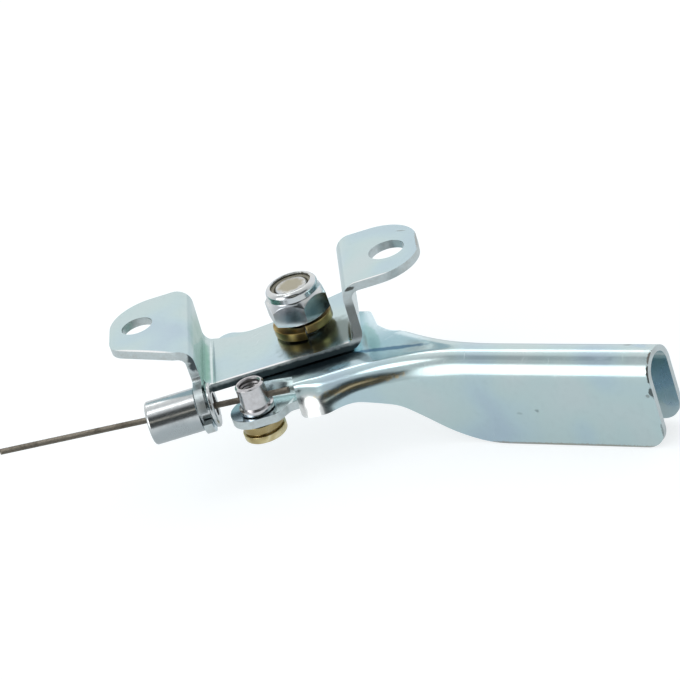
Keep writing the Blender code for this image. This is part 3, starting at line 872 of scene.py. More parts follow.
@dataclass
class Bench:
    """Makes solids, joins them, rounds their edges and hands the finished pieces to their bodies.

    Attributes:
        origin: where the pivot's frame lies in the row's.
        made: materials made so far, by name.
    """

    origin: Vector
    made: dict[str, bpy.types.Material] = field(default_factory=dict)

    def solid(self, name: str, form: Solid, placed: Matrix | None = None) -> bpy.types.Object:
        """Object that holds a mesh, in the row's frame.

        Args:
            name: the object's name.
            form: its mesh, which is used up.
            placed: where the mesh lies in the pivot's frame.

        Returns:
            The object.
        """
        where = Matrix.Translation(self.origin) @ (placed or Matrix.Identity(4))
        bmesh.ops.transform(form, matrix=where, verts=form.verts)
        bmesh.ops.recalc_face_normals(form, faces=form.faces)
        mesh = bpy.data.meshes.new(name)
        form.to_mesh(mesh)
        form.free()
        return in_scene(name, mesh)

    @staticmethod
    def baked(piece: bpy.types.Object) -> None:
        """Applies a piece's modifiers to its mesh.

        Args:
            piece: the piece.
        """
        bpy.context.view_layer.update()
        graph = bpy.context.evaluated_depsgraph_get()
        mesh = bpy.data.meshes.new_from_object(piece.evaluated_get(graph))
        piece.modifiers.clear()
        piece.data = mesh

    def join(self, piece: bpy.types.Object, how: Join, form: Solid, placed: Matrix | None = None,
             face: Face = Face.PLATED) -> None:
        """Lets a tool act on a piece.

        Args:
            piece: the solid that changes.
            how: the way in which the tool acts.
            form: the tool's mesh, which is used up.
            placed: where the tool lies in the pivot's frame.
            face: the finish that it leaves.
        """
        tool = self.solid("tool", form, placed)
        for polygon in tool.data.polygons:
            polygon.material_index = face.value
        step = piece.modifiers.new(tool.name, "BOOLEAN")
        step.operation = how.value
        step.object = tool
        step.solver = "EXACT"
        self.baked(piece)
        bpy.data.objects.remove(tool)

    def finish(self, piece: bpy.types.Object, finishes: Sequence[Finish], body: Body, node: str, slot: Slot,
               edge: float = STOCK.turned_edge) -> None:
        """Rounds a piece's edges, dresses it and hands it to its body.

        Args:
            piece: the piece.
            finishes: its finishes, in the order of its faces' places.
            body: the body that it rides on.
            node: the solid that it stands for.
            slot: the record's slot of its finish; not used.
            edge: rounding of its edges.
        """
        for finish in finishes:
            if finish.name not in self.made:
                self.made[finish.name] = finish.material(self.origin)
            piece.data.materials.append(self.made[finish.name])
        if edge:
            bevel = piece.modifiers.new("edges", "BEVEL")
            bevel.width = edge
            bevel.segments = STOCK.edge_segments
            bevel.limit_method = "ANGLE"
            bevel.angle_limit = STOCK.edge_angle
            bevel.use_clamp_overlap = True
        piece.data.shade_smooth()
        piece.modifiers.new("even_shading", "WEIGHTED_NORMAL").keep_sharp = True
        self.baked(piece)
        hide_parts(node)
        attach(piece, body.value)
        log.info("%s: %d faces on %s", piece.name, len(piece.data.polygons), body.value)


@dataclass(frozen=True)
class Assembly:
    """Pieces that are made together.

    Attributes:
        bench: where they are made.
    """

    bench: Bench

    def build(self) -> None:
        """Builds the pieces."""
        raise NotImplementedError


BLUE_TINTS = ((0.50, 0.63, 0.72), (0.54, 0.69, 0.74), (0.57, 0.71, 0.72), (0.60, 0.71, 0.72))
BRIGHT_TINTS = ((0.62, 0.66, 0.70), (0.70, 0.73, 0.75), (0.72, 0.74, 0.73), (0.66, 0.70, 0.74))
BRONZE_TINTS = ((0.18, 0.12, 0.04), (0.34, 0.24, 0.08), (0.54, 0.40, 0.16), (0.38, 0.27, 0.10))
GOLD_TINTS = ((0.42, 0.34, 0.16), (0.66, 0.56, 0.30), (0.78, 0.70, 0.45), (0.60, 0.50, 0.27))
RUST_BROWN: Colour = (0.075, 0.045, 0.025)
SOOT: Colour = (0.02, 0.018, 0.015)
WHITE: Colour = (1.0, 1.0, 1.0)
SHEARED_EDGE = Turned(
    name="sheared_edge", colour=(0.66, 0.74, 0.76), shade=(0.40, 0.38, 0.33), roughness=0.32, grain=0.00060,
    depth=0.000010, dirt=0.40, marks=(
        # painted shade on the base's front edge, worn corner of the right ear, dark edge under the left ear
        Mark((-0.0040, -0.0140, -0.0015), (0.0340, 0.0012, 0.0013), (0.03, 0.06, 0.07), 0.92, ragged=0.3),
        Mark((0.0130, -0.0101, 0.0110), (0.0016, 0.0014, 0.0006), (0.05, 0.05, 0.04), 0.85, ragged=0.4),
        Mark((-0.0243, -0.0172, 0.0087), (0.0016, 0.0020, 0.0030), (0.05, 0.07, 0.08), 0.9, ragged=0.9),
    ))


def bright_rim(centre: Spot, length: float, turn: float = 0.0) -> Mark:
    """Light that a rounded rim of the bracket catches along its length."""
    return Mark(centre, (length, 0.0007, 0.0006), WHITE, 0.9, turn, rough=0.0, ragged=0.1)


@dataclass(frozen=True)
class Bracket(Assembly):
    """The folded strip: ear, leg, base, leg and ear, with the fork that grips the ferrule.

    Its fields are the places and sizes of its folds, edges and holes, in the pivot's frame. A hole is the
    place of its middle and its radius.
    """

    ear_rise: float = 0.0120
    bend_inside: float = 0.0018
    left_leg_x: float = -0.0242
    right_leg_x: float = 0.0110
    left_end_x: float = -0.0431
    right_end_x: float = 0.0303
    left_hole: Spot = (-0.0365, 0.0017, 0.0037)
    right_hole: Spot = (0.0230, 0.0017, 0.0042)
    left_back: float = 0.0135
    left_front: float = -0.0065
    left_back_round: float = 0.0100
    left_front_round: float = 0.0060
    left_leg_front: float = -0.0172
    left_leg_round: float = 0.0030
    base_front: float = -0.0138
    waist_x: float = -0.0152
    waist_y: float = 0.0051
    waist_round: float = 0.0060
    right_back: float = 0.0151
    right_front: float = -0.0101
    right_round: float = 0.0105
    right_leg_round: float = 0.0040
    step_start: float = 0.0016
    step_rise: float = 0.0086
    step_round: float = 0.0060
    ferrule_y: float = -0.0194
    ferrule_z: float = -0.0021
    ferrule_neck: float = 0.0035
    fork_radius: float = 0.0059
    fork_mouth: float = 0.0029
    fork_relief: float = 0.0005
    fork_round: float = 0.0012
    fork_shoulder: float = 0.0058
    fork_start: float = math.radians(75)
    @property
    def runs(self) -> tuple[Point, ...]:
        """The strip's runs, straight and bent, from the left ear's end.

        Returns:
            Length of each run, and how far it turns upward.
        """
        bend = (self.bend_inside + HALF) * QUARTER
        leg = self.ear_rise - STOCK.sheet - 2 * self.bend_inside
        left = self.left_leg_x - STOCK.sheet - self.bend_inside - self.left_end_x
        right = self.right_end_x - self.right_leg_x - STOCK.sheet - self.bend_inside
        base = self.right_leg_x - self.left_leg_x - 2 * self.bend_inside
        return ((left, 0), (bend, -QUARTER), (leg, 0), (bend, QUARTER), (base, 0), (bend, QUARTER), (leg, 0),
                (bend, -QUARTER), (right, 0))

    @property
    def starts(self) -> list[float]:
        """Where each run starts along the strip, and where the last one ends."""
        runs = self.runs
        return [sum(length for length, _ in runs[:i]) for i in range(len(runs) + 1)]

    def placing(self) -> Placing:
        """The press that folds the blank.

        Returns:
            A function of s along the strip, y across it and n above its middle.
        """
        runs, starts = self.runs, self.starts
        leg_foot = starts[3]

        def place(s: float, y: float, n: float) -> Spot:
            """Folds one point of the blank.

            Args:
                s: its place along the strip.
                y: its place across it.
                n: its height above the sheet's middle.

            Returns:
                Its place in the pivot's frame.
            """
            x = self.left_end_x
            z = self.ear_rise - HALF
            heading = 0.0
            in_fork = y < self.base_front - self.fork_relief / 2 and s > leg_foot
            for i, (length, turn) in enumerate(runs):
                bend = 0 if in_fork and starts[i] >= leg_foot else turn
                last = i == len(runs) - 1 or s <= starts[i + 1]
                going = s - starts[i] if last else length
                if bend:
                    radius = length / bend
                    after = heading + going / radius
                    x += radius * (math.sin(after) - math.sin(heading))
                    z -= radius * (math.cos(after) - math.cos(heading))
                    heading = after
                else:
                    x += going * math.cos(heading)
                    z += going * math.sin(heading)
                if last:
                    break
            return x - n * math.sin(heading), y, z + n * math.cos(heading)

        return place

    def leg_s(self, z: float) -> float:
        """Place along the strip of a height on the left leg's plane."""
        return self.starts[2] + self.ear_rise - STOCK.sheet - self.bend_inside - z

    def fork_arc(self, radius: float, start: float, end: float) -> list[Point]:
        """Arc of the fork, its angle measured upward from the front, in blank coordinates."""
        middle = self.leg_s(self.ferrule_z)
        return [(middle - x, self.ferrule_y - y) for y, x in arc((0, 0), radius, start, end)]

    def outline(self) -> list[Point]:
        """Outline of the blank, from the left ear along the front to the right ear and back.

        Returns:
            Its points, in s and y.
        """
        starts = self.starts
        ear_bend, leg_top, leg_foot, base_start, base_end, _, right_top = starts[1:8]
        hole = self.ferrule_neck + STOCK.seat_gap
        outer_lip = math.asin(self.fork_mouth / 2 / self.fork_radius)
        inner_lip = math.asin(self.fork_mouth / 2 / hole)
        relief = self.base_front - self.fork_relief
        back = math.acos((self.ferrule_y - relief) / self.fork_radius)
        fork = self.fork_arc(self.fork_radius, self.fork_start, outer_lip)
        fork += self.fork_arc(hole, inner_lip, 2 * math.pi - inner_lip)
        fork += self.fork_arc(self.fork_radius, -outer_lip, -back)
        slope = (self.left_front - self.left_leg_front) / ear_bend
        waist_s = base_start + self.waist_x - self.left_leg_x - self.bend_inside
        right_slope = (self.right_back - self.waist_y) / (right_top - waist_s)
        step_foot = base_end + self.step_start
        end = starts[-1]
        return rounded([
            (0, self.left_front, self.left_front_round),
            (ear_bend, self.left_front - slope * ear_bend, self.left_leg_round),
            (self.leg_s(self.ferrule_z + self.fork_shoulder), self.left_leg_front, self.fork_round),
            *[(s, y, 0) for s, y in fork],
            (leg_foot, relief, 0),
            (leg_foot, self.base_front, 0),
            (step_foot, self.base_front, self.step_round),
            (step_foot + self.step_rise, self.right_front, self.step_round),
            (end, self.right_front, self.right_round),
            (end, self.right_back, self.right_round),
            (right_top, self.right_back, self.right_leg_round),
            (waist_s, self.right_back - right_slope * (right_top - waist_s), self.waist_round),
            (leg_top, self.left_back, self.left_leg_round),
            (0, self.left_back, self.left_back_round),
        ])

    def cuts(self) -> list[Cut]:
        """Lines across the strip wherever it bends.

        Returns:
            The lines, in the order of the bends.
        """
        cuts = []
        for start, (length, turn) in zip(self.starts, self.runs):
            if turn:
                steps = round(abs(turn) / STOCK.arc_step)
                cuts += [Cut((s, 0), (1, 0)) for s in spaced(start, start + length, steps)]
        return cuts

    def finish(self) -> Plating:
        """Blue zinc with the bracket's own tints and scuffs, painted highlights on its rims, and painted
        shade and reflections on its base.

        Returns:
            The finish.
        """
        leg = self.left_leg_x
        marks = (
            # green tint of the left leg, its dent, the right ear's brown tip and the rub beside it
            Mark((leg - 0.0004, -0.0050, 0.0040), (0.0032, 0.0210, 0.0070), (0.19, 0.42, 0.33), 0.9,
                 rough=0.02, ragged=0.2),
            Mark((-0.0243, -0.0033, 0.0112), (0.0009, 0.0020, 0.0012), (0.12, 0.16, 0.15), 0.8, ragged=0.5),
            Mark((0.0303, 0.0010, 0.0120), (0.0006, 0.0070, 0.0025), (0.30, 0.24, 0.19), 0.6),
            Mark((0.0270, 0.0090, 0.0120), (0.0016, 0.0003, 0.0010), (0.20, 0.17, 0.15), 0.5, turn=-0.5),
            # painted highlight on the base's front rim, and painted shade that the nut throws on the base
            bright_rim((-0.0050, self.base_front + 0.0002, 0.0), 0.0350),
            Mark((0.0042, -0.0072, 0.0), (0.0125, 0.0090, 0.0016), (0.15, 0.19, 0.17), 0.85,
                 rough=0.06, ragged=0.2),
            # painted highlights on the ears' front rims
            bright_rim((-0.0350, -0.0120, 0.0120), 0.0100, -0.616),
            bright_rim((0.0190, -0.0101, 0.0120), 0.0085),
            # painted reflection in the bend at the left leg's foot: a light and a dark line
            Mark((leg + 0.0015, -0.0040, 0.0), (0.0004, 0.0130, 0.0012), (0.88, 0.95, 0.97), 0.6,
                 rough=0.0, ragged=0.1),
            Mark((leg + 0.0022, -0.0040, 0.0), (0.0003, 0.0130, 0.0010), (0.22, 0.32, 0.35), 0.7,
                 rough=0.0, ragged=0.2),
        )
        return Plating(name="bracket_zinc", tints=BLUE_TINTS, marks=marks)

    def build(self) -> None:
        """Builds the bracket: folds it, punches its three holes and dresses it."""
        sheet = PressedSheet(self.outline(), self.cuts(), self.placing())
        bracket = self.bench.solid("folded_bracket", sheet.pressed())
        bolt_hole = (0.0, 0.0, STOCK.bolt + STOCK.seat_gap)
        holes = ((self.left_hole, self.ear_rise), (self.right_hole, self.ear_rise), (bolt_hole, 0.0))
        for (x, y, radius), top in holes:
            punch = drill(radius, top - STOCK.sheet - STOCK.overrun, top + STOCK.overrun)
            self.bench.join(bracket, Join.CUT, punch, Matrix.Translation((x, y, 0)), Face.SHEARED)
        self.bench.finish(bracket, (self.finish(), SHEARED_EDGE), Body.BRACKET, "bracket", Slot.BLUE_ZINC,
                          STOCK.sheet_edge)


@dataclass(frozen=True)
class Lever(Assembly):
    """The pressed lever: flat boss, joggled arm, deepening flange and channel handle.

    Its fields are the places and sizes of its creases, edges and holes. Along the front crease a place is
    given as s, and square to it, towards the back, as w. A corner is its s, its w and its rounding.
    """

    handle_angle: float = math.radians(-33)
    crease_y: float = -0.0200
    crease_round: float = 0.0520
    handle_axis: float = -0.0043
    handle_end: float = 0.0900
    flange_outside: float = 0.0053
    flange_end_x: float = -0.0048
    flare_start_x: float = 0.0016
    flare: float = 0.0019
    kick: float = 0.0026
    kick_start_x: float = 0.0090
    kick_full_x: float = -0.0010
    handle_depth: float = 0.0217
    handle_corner: float = 0.0048
    far_wall_short: float = 0.0012
    drawn_thin: float = 0.34
    lobe_depth: float = 0.0068
    lobe_round: float = 0.0011
    sweep: tuple[Point, ...] = ((0.0065, 0.0060), (0.0180, 0.0100))
    full_depth_s: float = 0.0335
    sweep_round: float = 0.0140
    full_round: float = 0.0280
    curl_start: float = 0.0190
    curl_end: float = 0.0440
    curl_crease: float = 0.0092
    curl_low: Point = (0.0265, 0.0086)
    curl_full_s: float = 0.0430
    curl_round: float = 0.0100
    curl_step: float = 0.0010
    curl_power: int = 3
    curl_leave: int = 9
    waist: Corner = (0.0170, 0.0110, 0.0070)
    neck: Corner = (0.0141, 0.0156, 0.0040)
    shoulder: Corner = (0.0127, 0.0232, 0.0020)
    boss_half: float = 0.0100
    boss_back: float = 0.0085
    boss_round: float = 0.0060
    tail: float = 0.0246
    tail_half: float = 0.0056
    tail_across: float = -0.0043
    tail_round: float = 0.0030
    arm_round: float = 0.0058
    arm_corner: float = 0.0056
    arm_x: float = -0.0145
    arm_y: float = -0.0205
    arm_side_x: float = -0.0125
    arm_side_round: float = 0.0020
    arm_root_u: float = -0.0080
    arm_root_round: float = 0.0040
    arm_down: float = 0.0030
    step_angle: float = math.radians(-17)
    step_start: float = 0.0179
    step_end: float = 0.0203
    step_cuts: int = 16
    slit: float = 0.0001
    neck_x: float = -0.0098
    neck_in: float = 0.0030
    slit_reach: float = 0.0030
    web_length: float = 0.0060
    web_width: float = 0.0034
    web_inset: float = 0.0036
    web_thickness: float = 0.0016
    clamp_x: float = -0.0139
    clamp_y: float = -0.0214
    clamp_radius: float = 0.0020
    top: float = -STOCK.sheet - STOCK.seat_gap
    skin: float = 0.0016

    @property
    def middle(self) -> float:
        """Radius of the flange's bend at the sheet's middle."""
        return self.flange_outside - HALF

    @property
    def bend(self) -> float:
        """Length of that bend."""
        return self.middle * QUARTER

    @property
    def along(self) -> Vector:
        """Direction of the handle."""
        return Vector((math.cos(self.handle_angle), math.sin(self.handle_angle)))

    @property
    def across(self) -> Vector:
        """Direction square to the handle, towards the back."""
        return Vector((-math.sin(self.handle_angle), math.cos(self.handle_angle)))

    @property
    def turn_u(self) -> float:
        """Distance along the handle's line at which the two straight creases meet."""
        return (self.crease_y - self.handle_axis * self.across.y) / self.along.y

    @property
    def tangent(self) -> float:
        """Length that the crease's arc takes from each straight."""
        return self.crease_round * math.tan(-self.handle_angle / 2)

    @property
    def turn_s(self) -> float:
        """Where the crease starts to turn."""
        return self.turn_u * self.along.x + self.handle_axis * self.across.x - self.tangent

    @property
    def straight_s(self) -> float:
        """Where the crease is straight again."""
        return self.turn_s - self.crease_round * self.handle_angle

    @property
    def step_across(self) -> Point:
        """Direction square to the arm's step, towards the arm's end."""
        return math.sin(self.step_angle), -math.cos(self.step_angle)

    @property
    def end_s(self) -> float:
        """End of the handle."""
        return self.straight_s + self.handle_end - self.turn_u - self.tangent

    @property
    def wall(self) -> float:
        """Width of the blank from the crease to the handle's lower edge."""
        return self.bend + self.handle_depth - self.flange_outside

    def blank_point(self, x: float, y: float) -> Point:
        """Blank coordinates of a plan point of the flat boss.

        Args:
            x: its place along X.
            y: its place along Y.

        Returns:
            Its s and w.
        """
        if x < self.turn_s:
            return x, y - self.crease_y
        away = Vector((x - self.turn_s, y - self.crease_y + self.crease_round))
        return self.turn_s + self.crease_round * math.atan2(away.x, away.y), away.length - self.crease_round

    def boss_point(self, u: float, v: float) -> Point:
        """Blank coordinates of a point of the boss, u along the handle's line and v behind it."""
        plan = self.along * u + self.across * v
        return self.blank_point(plan.x, plan.y)

    def crease(self, s: float) -> tuple[Vector, Vector]:
        """Front crease: straight, then an arc, then straight along the handle.

        Args:
            s: place along it.

        Returns:
            Its plan point there, and the direction from it to the back.
        """
        if s < self.turn_s:
            return Vector((s, self.crease_y)), Vector((0, 1))
        if s < self.straight_s:
            angle = (s - self.turn_s) / self.crease_round
            back = Vector((math.sin(angle), math.cos(angle)))
            return Vector((self.turn_s, self.crease_y - self.crease_round)) + back * self.crease_round, back
        along = self.turn_u + self.tangent + s - self.straight_s
        return self.along * along + self.across * self.handle_axis, self.across

    def bent(self, distance: float, n: float) -> Point:
        """Way of the sheet round a bend and down its wall.

        Args:
            distance: how far a point of the blank lies beyond the crease.
            n: its height above the sheet's middle.

        Returns:
            How far out from the crease it comes, and how far up.
        """
        angle = min(distance / self.middle, QUARTER)
        wall = max(0.0, distance - self.bend)
        radius = self.middle + n
        return radius * math.sin(angle), radius * math.cos(angle) - self.flange_outside - wall

    def place(self, s: float, w: float, n: float) -> Spot:
        """Presses one point of the blank; the sheet is drawn thinner towards the handle's end.

        Args:
            s: its place along the crease.
            w: its place behind the crease.
            n: its height above the sheet's middle.

        Returns:
            Its place in the pivot's frame.
        """
        point, back = self.crease(s)
        left = max(0.0, (self.curl_end - s) / (self.curl_end - self.curl_start))
        n = HALF - (HALF - n) * (1 - self.drawn_thin * (1 - min(left, 1.0)))
        out, rise = w, n - HALF
        back_crease = self.curl_crease * left ** (self.curl_leave if left > 1 else self.curl_power)
        if s < self.flange_end_x:
            ahead = (point + back * w).dot(Vector(self.step_across))
            rise -= self.arm_down * eased(ahead, self.step_start, self.step_end)
        elif w < 0:
            out, rise = self.bent(-w, n)
            bent_share = math.sin(min(-w / self.middle, QUARTER))
            flared = eased(s, self.flare_start_x, self.flange_end_x) * bent_share
            lowered = max(-w - self.bend / 2, 0.0) / self.lobe_depth
            kicked = eased(s, self.kick_start_x, self.kick_full_x) * lowered
            out = self.flare * flared - self.kick * kicked - out
        elif w > back_crease:
            out, rise = self.bent(w - back_crease, n)
            out += back_crease
        plan = point + back * out
        return plan.x, plan.y, self.top + rise

    def outline(self) -> list[Point]:
        """Outline of the blank, from the arm along the flange to the handle and back over the boss.

        Returns:
            Its points, in s and w.
        """
        slit = self.slit / 2
        edge = self.bend - self.flange_outside
        left = self.arm_x - self.arm_round
        front = self.arm_y - self.arm_round - self.crease_y
        back = self.arm_y + self.arm_round - self.crease_y
        necked = front + self.neck_in
        far = self.wall - self.far_wall_short
        tail_back = self.tail_across + self.tail_half
        tail_front = self.tail_across - self.tail_half
        return rounded([
            (left, front, self.arm_corner),
            (self.neck_x, front, self.arm_side_round),
            (self.neck_x + self.neck_in, necked, self.arm_side_round),
            (self.flange_end_x - slit, necked, 0),
            (self.flange_end_x - slit, self.slit_reach, 0),
            (self.flange_end_x + slit, self.slit_reach, 0),
            (self.flange_end_x + slit, -edge - self.lobe_depth, self.lobe_round),
            *[(s, -edge - depth, self.sweep_round) for s, depth in self.sweep],
            (self.full_depth_s, -self.wall, self.full_round),
            (self.end_s, -self.wall, self.handle_corner),
            (self.end_s, far, self.handle_corner),
            (self.curl_full_s, far, self.curl_round),
            (*self.curl_low, self.curl_round),
            self.waist,
            self.neck,
            self.shoulder,
            (*self.boss_point(-self.boss_back, self.boss_half), self.boss_round),
            (*self.boss_point(-self.boss_back - self.boss_half, tail_back), self.boss_round),
            (*self.boss_point(-self.tail, tail_back), self.tail_round),
            (*self.boss_point(-self.tail, tail_front), self.tail_round),
            (*self.boss_point(self.arm_root_u, -self.boss_half), self.arm_root_round),
            (self.arm_side_x, back, self.arm_side_round),
            (left, back, self.arm_corner),
        ])

    def cuts(self) -> list[Cut]:
        """Lines that divide the blank wherever the pressed sheet is curved.

        Returns:
            Lines across the crease, along it, and across the arm's step.
        """
        turn, end = self.turn_s, self.flange_end_x
        places = spaced(turn, self.curl_end, math.ceil((self.curl_end - turn) / self.curl_step))
        places += spaced(end, turn, math.ceil((turn - end) / self.curl_step))[:-1]
        cuts = [Cut((s, 0), (1, 0)) for s in places]
        count = round(QUARTER / STOCK.arc_step)
        cuts += [Cut((0, w), (0, 1), low=end) for w in spaced(0, -self.bend, count)]
        back = self.curl_crease + self.bend * 2
        rows = spaced(0, back, math.ceil(back / self.bend * count))
        cuts += [Cut((0, w), (0, 1), low=turn) for w in rows[1:]]
        x, y = self.step_across
        for ahead in spaced(self.step_start, self.step_end, self.step_cuts):
            cuts.append(Cut((x * ahead, y * ahead - self.crease_y), (x, y), high=end))
        return cuts

    def handle_mark(self, u: float, v: float, z: float, reach: Spot, colour: Colour, strength: float) -> Mark:
        """Mark placed along, across and above the handle's line."""
        plan = self.along * u + self.across * v
        return Mark((plan.x, plan.y, z), reach, colour, strength, self.handle_angle)

    def finish(self) -> Plating:
        """Blue zinc with painted highlights, reflections and shade on the flange's end and the boss, and the
        wear of the handle.

        Returns:
            The finish.
        """
        flange = (
            # painted highlight on the flange's end, a white patch, and a painted gold reflection in its bend
            Mark((-0.0018, -0.0245, -0.0080), (0.0042, 0.0050, 0.0050), (0.97, 0.97, 0.96), 0.8, turn=0.2,
                 rough=0.0, ragged=0.25),
            Mark((0.0100, -0.0248, -0.0051), (0.0125, 0.0026, 0.0009), (0.86, 0.70, 0.38), 0.7, turn=-0.07,
                 rough=0.0, ragged=0.5),
        )
        boss = (
            # painted reflections on the boss: pale blue, a teal and a dark blue streak; and painted shade
            # under the base's front edge
            (0.0200, -0.0070, 0.0150, 0.0170, (0.76, 0.93, 0.99), 0.9, 0.0, 0.02, 0.15),
            (0.0143, -0.0103, 0.0020, 0.0090, (0.40, 0.66, 0.62), 0.6, 0.15, 0.0, 0.3),
            (0.0177, -0.0176, 0.0108, 0.0010, (0.13, 0.27, 0.42), 0.85, -0.37, 0.0, 0.4),
            (0.0017, -0.0157, 0.0099, 0.0034, (0.07, 0.10, 0.13), 0.85, 0.02, 0.0, 0.2),
        )
        handle = (
            # soot and rust round the handle's open end
            (0.0899, -0.0090, -0.0056, (0.0006, 0.0016, 0.0030), SOOT, 0.95),
            (0.0898, -0.0068, -0.0030, (0.0005, 0.0026, 0.0014), RUST_BROWN, 0.8),
            (0.0897, -0.0096, -0.0100, (0.0007, 0.0010, 0.0016), SOOT, 0.8),
            (0.0886, -0.0096, -0.0109, (0.0006, 0.0008, 0.0005), RUST_BROWN, 0.45),
            (0.0898, -0.0096, -0.0205, (0.0004, 0.0010, 0.0030), RUST_BROWN, 0.5),
            # blue inside, brown lower edge, and nicks
            (0.0860, -0.0030, -0.0120, (0.0120, 0.0040, 0.0100), (0.36, 0.56, 0.78), 0.6),
            (0.0640, -0.0096, -0.0239, (0.0340, 0.0020, 0.0005), (0.34, 0.28, 0.22), 0.65),
            (0.0830, -0.0026, -0.0024, (0.0013, 0.0006, 0.0008), (0.10, 0.16, 0.17), 0.7),
            (0.0606, -0.0096, -0.0152, (0.0006, 0.0006, 0.0005), (0.20, 0.27, 0.28), 0.6),
            (0.0560, -0.0096, -0.0160, (0.0009, 0.0006, 0.0004), (0.34, 0.42, 0.44), 0.4),
            (0.0480, 0.0010, -0.0023, (0.0030, 0.0006, 0.0008), (0.16, 0.25, 0.33), 0.5),
        )
        marks = flange + tuple(Mark((x, y, self.top), (wide, deep, self.skin), *look)
                               for x, y, wide, deep, *look in boss)
        marks += tuple(self.handle_mark(*row) for row in handle)
        return Plating(name="lever_zinc", tints=BLUE_TINTS, marks=marks)

    def build(self) -> None:
        """Builds the lever: presses it, ties its arm to its flange, punches its two holes and dresses it."""
        bench = self.bench
        sheet = PressedSheet(self.outline(), self.cuts(), self.place)
        lever = bench.solid("pressed_lever", sheet.pressed())
        middle = self.top - self.arm_down - HALF
        front = self.arm_y - self.arm_round + self.web_inset
        back = front + self.web_width
        left = self.flange_end_x - self.web_length / 2
        right = left + self.web_length
        half = self.web_thickness / 2
        bench.join(lever, Join.ADD, prism([(left, front), (right, front), (right, back), (left, back)],
                                          middle - half, middle + half))
        low, high = self.top - STOCK.sheet - STOCK.overrun, self.top + STOCK.overrun
        bench.join(lever, Join.CUT, drill(STOCK.bolt + STOCK.running_gap, low, high), face=Face.SHEARED)
        clamp = drill(self.clamp_radius + STOCK.running_gap, middle - STOCK.sheet, middle + STOCK.sheet)
        place = Matrix.Translation((self.clamp_x, self.clamp_y, 0))
        bench.join(lever, Join.CUT, clamp, place, Face.SHEARED)
        bench.finish(lever, (self.finish(), SHEARED_EDGE), Body.LEVER, "throttle_lever", Slot.BLUE_ZINC,
                     STOCK.sheet_edge)


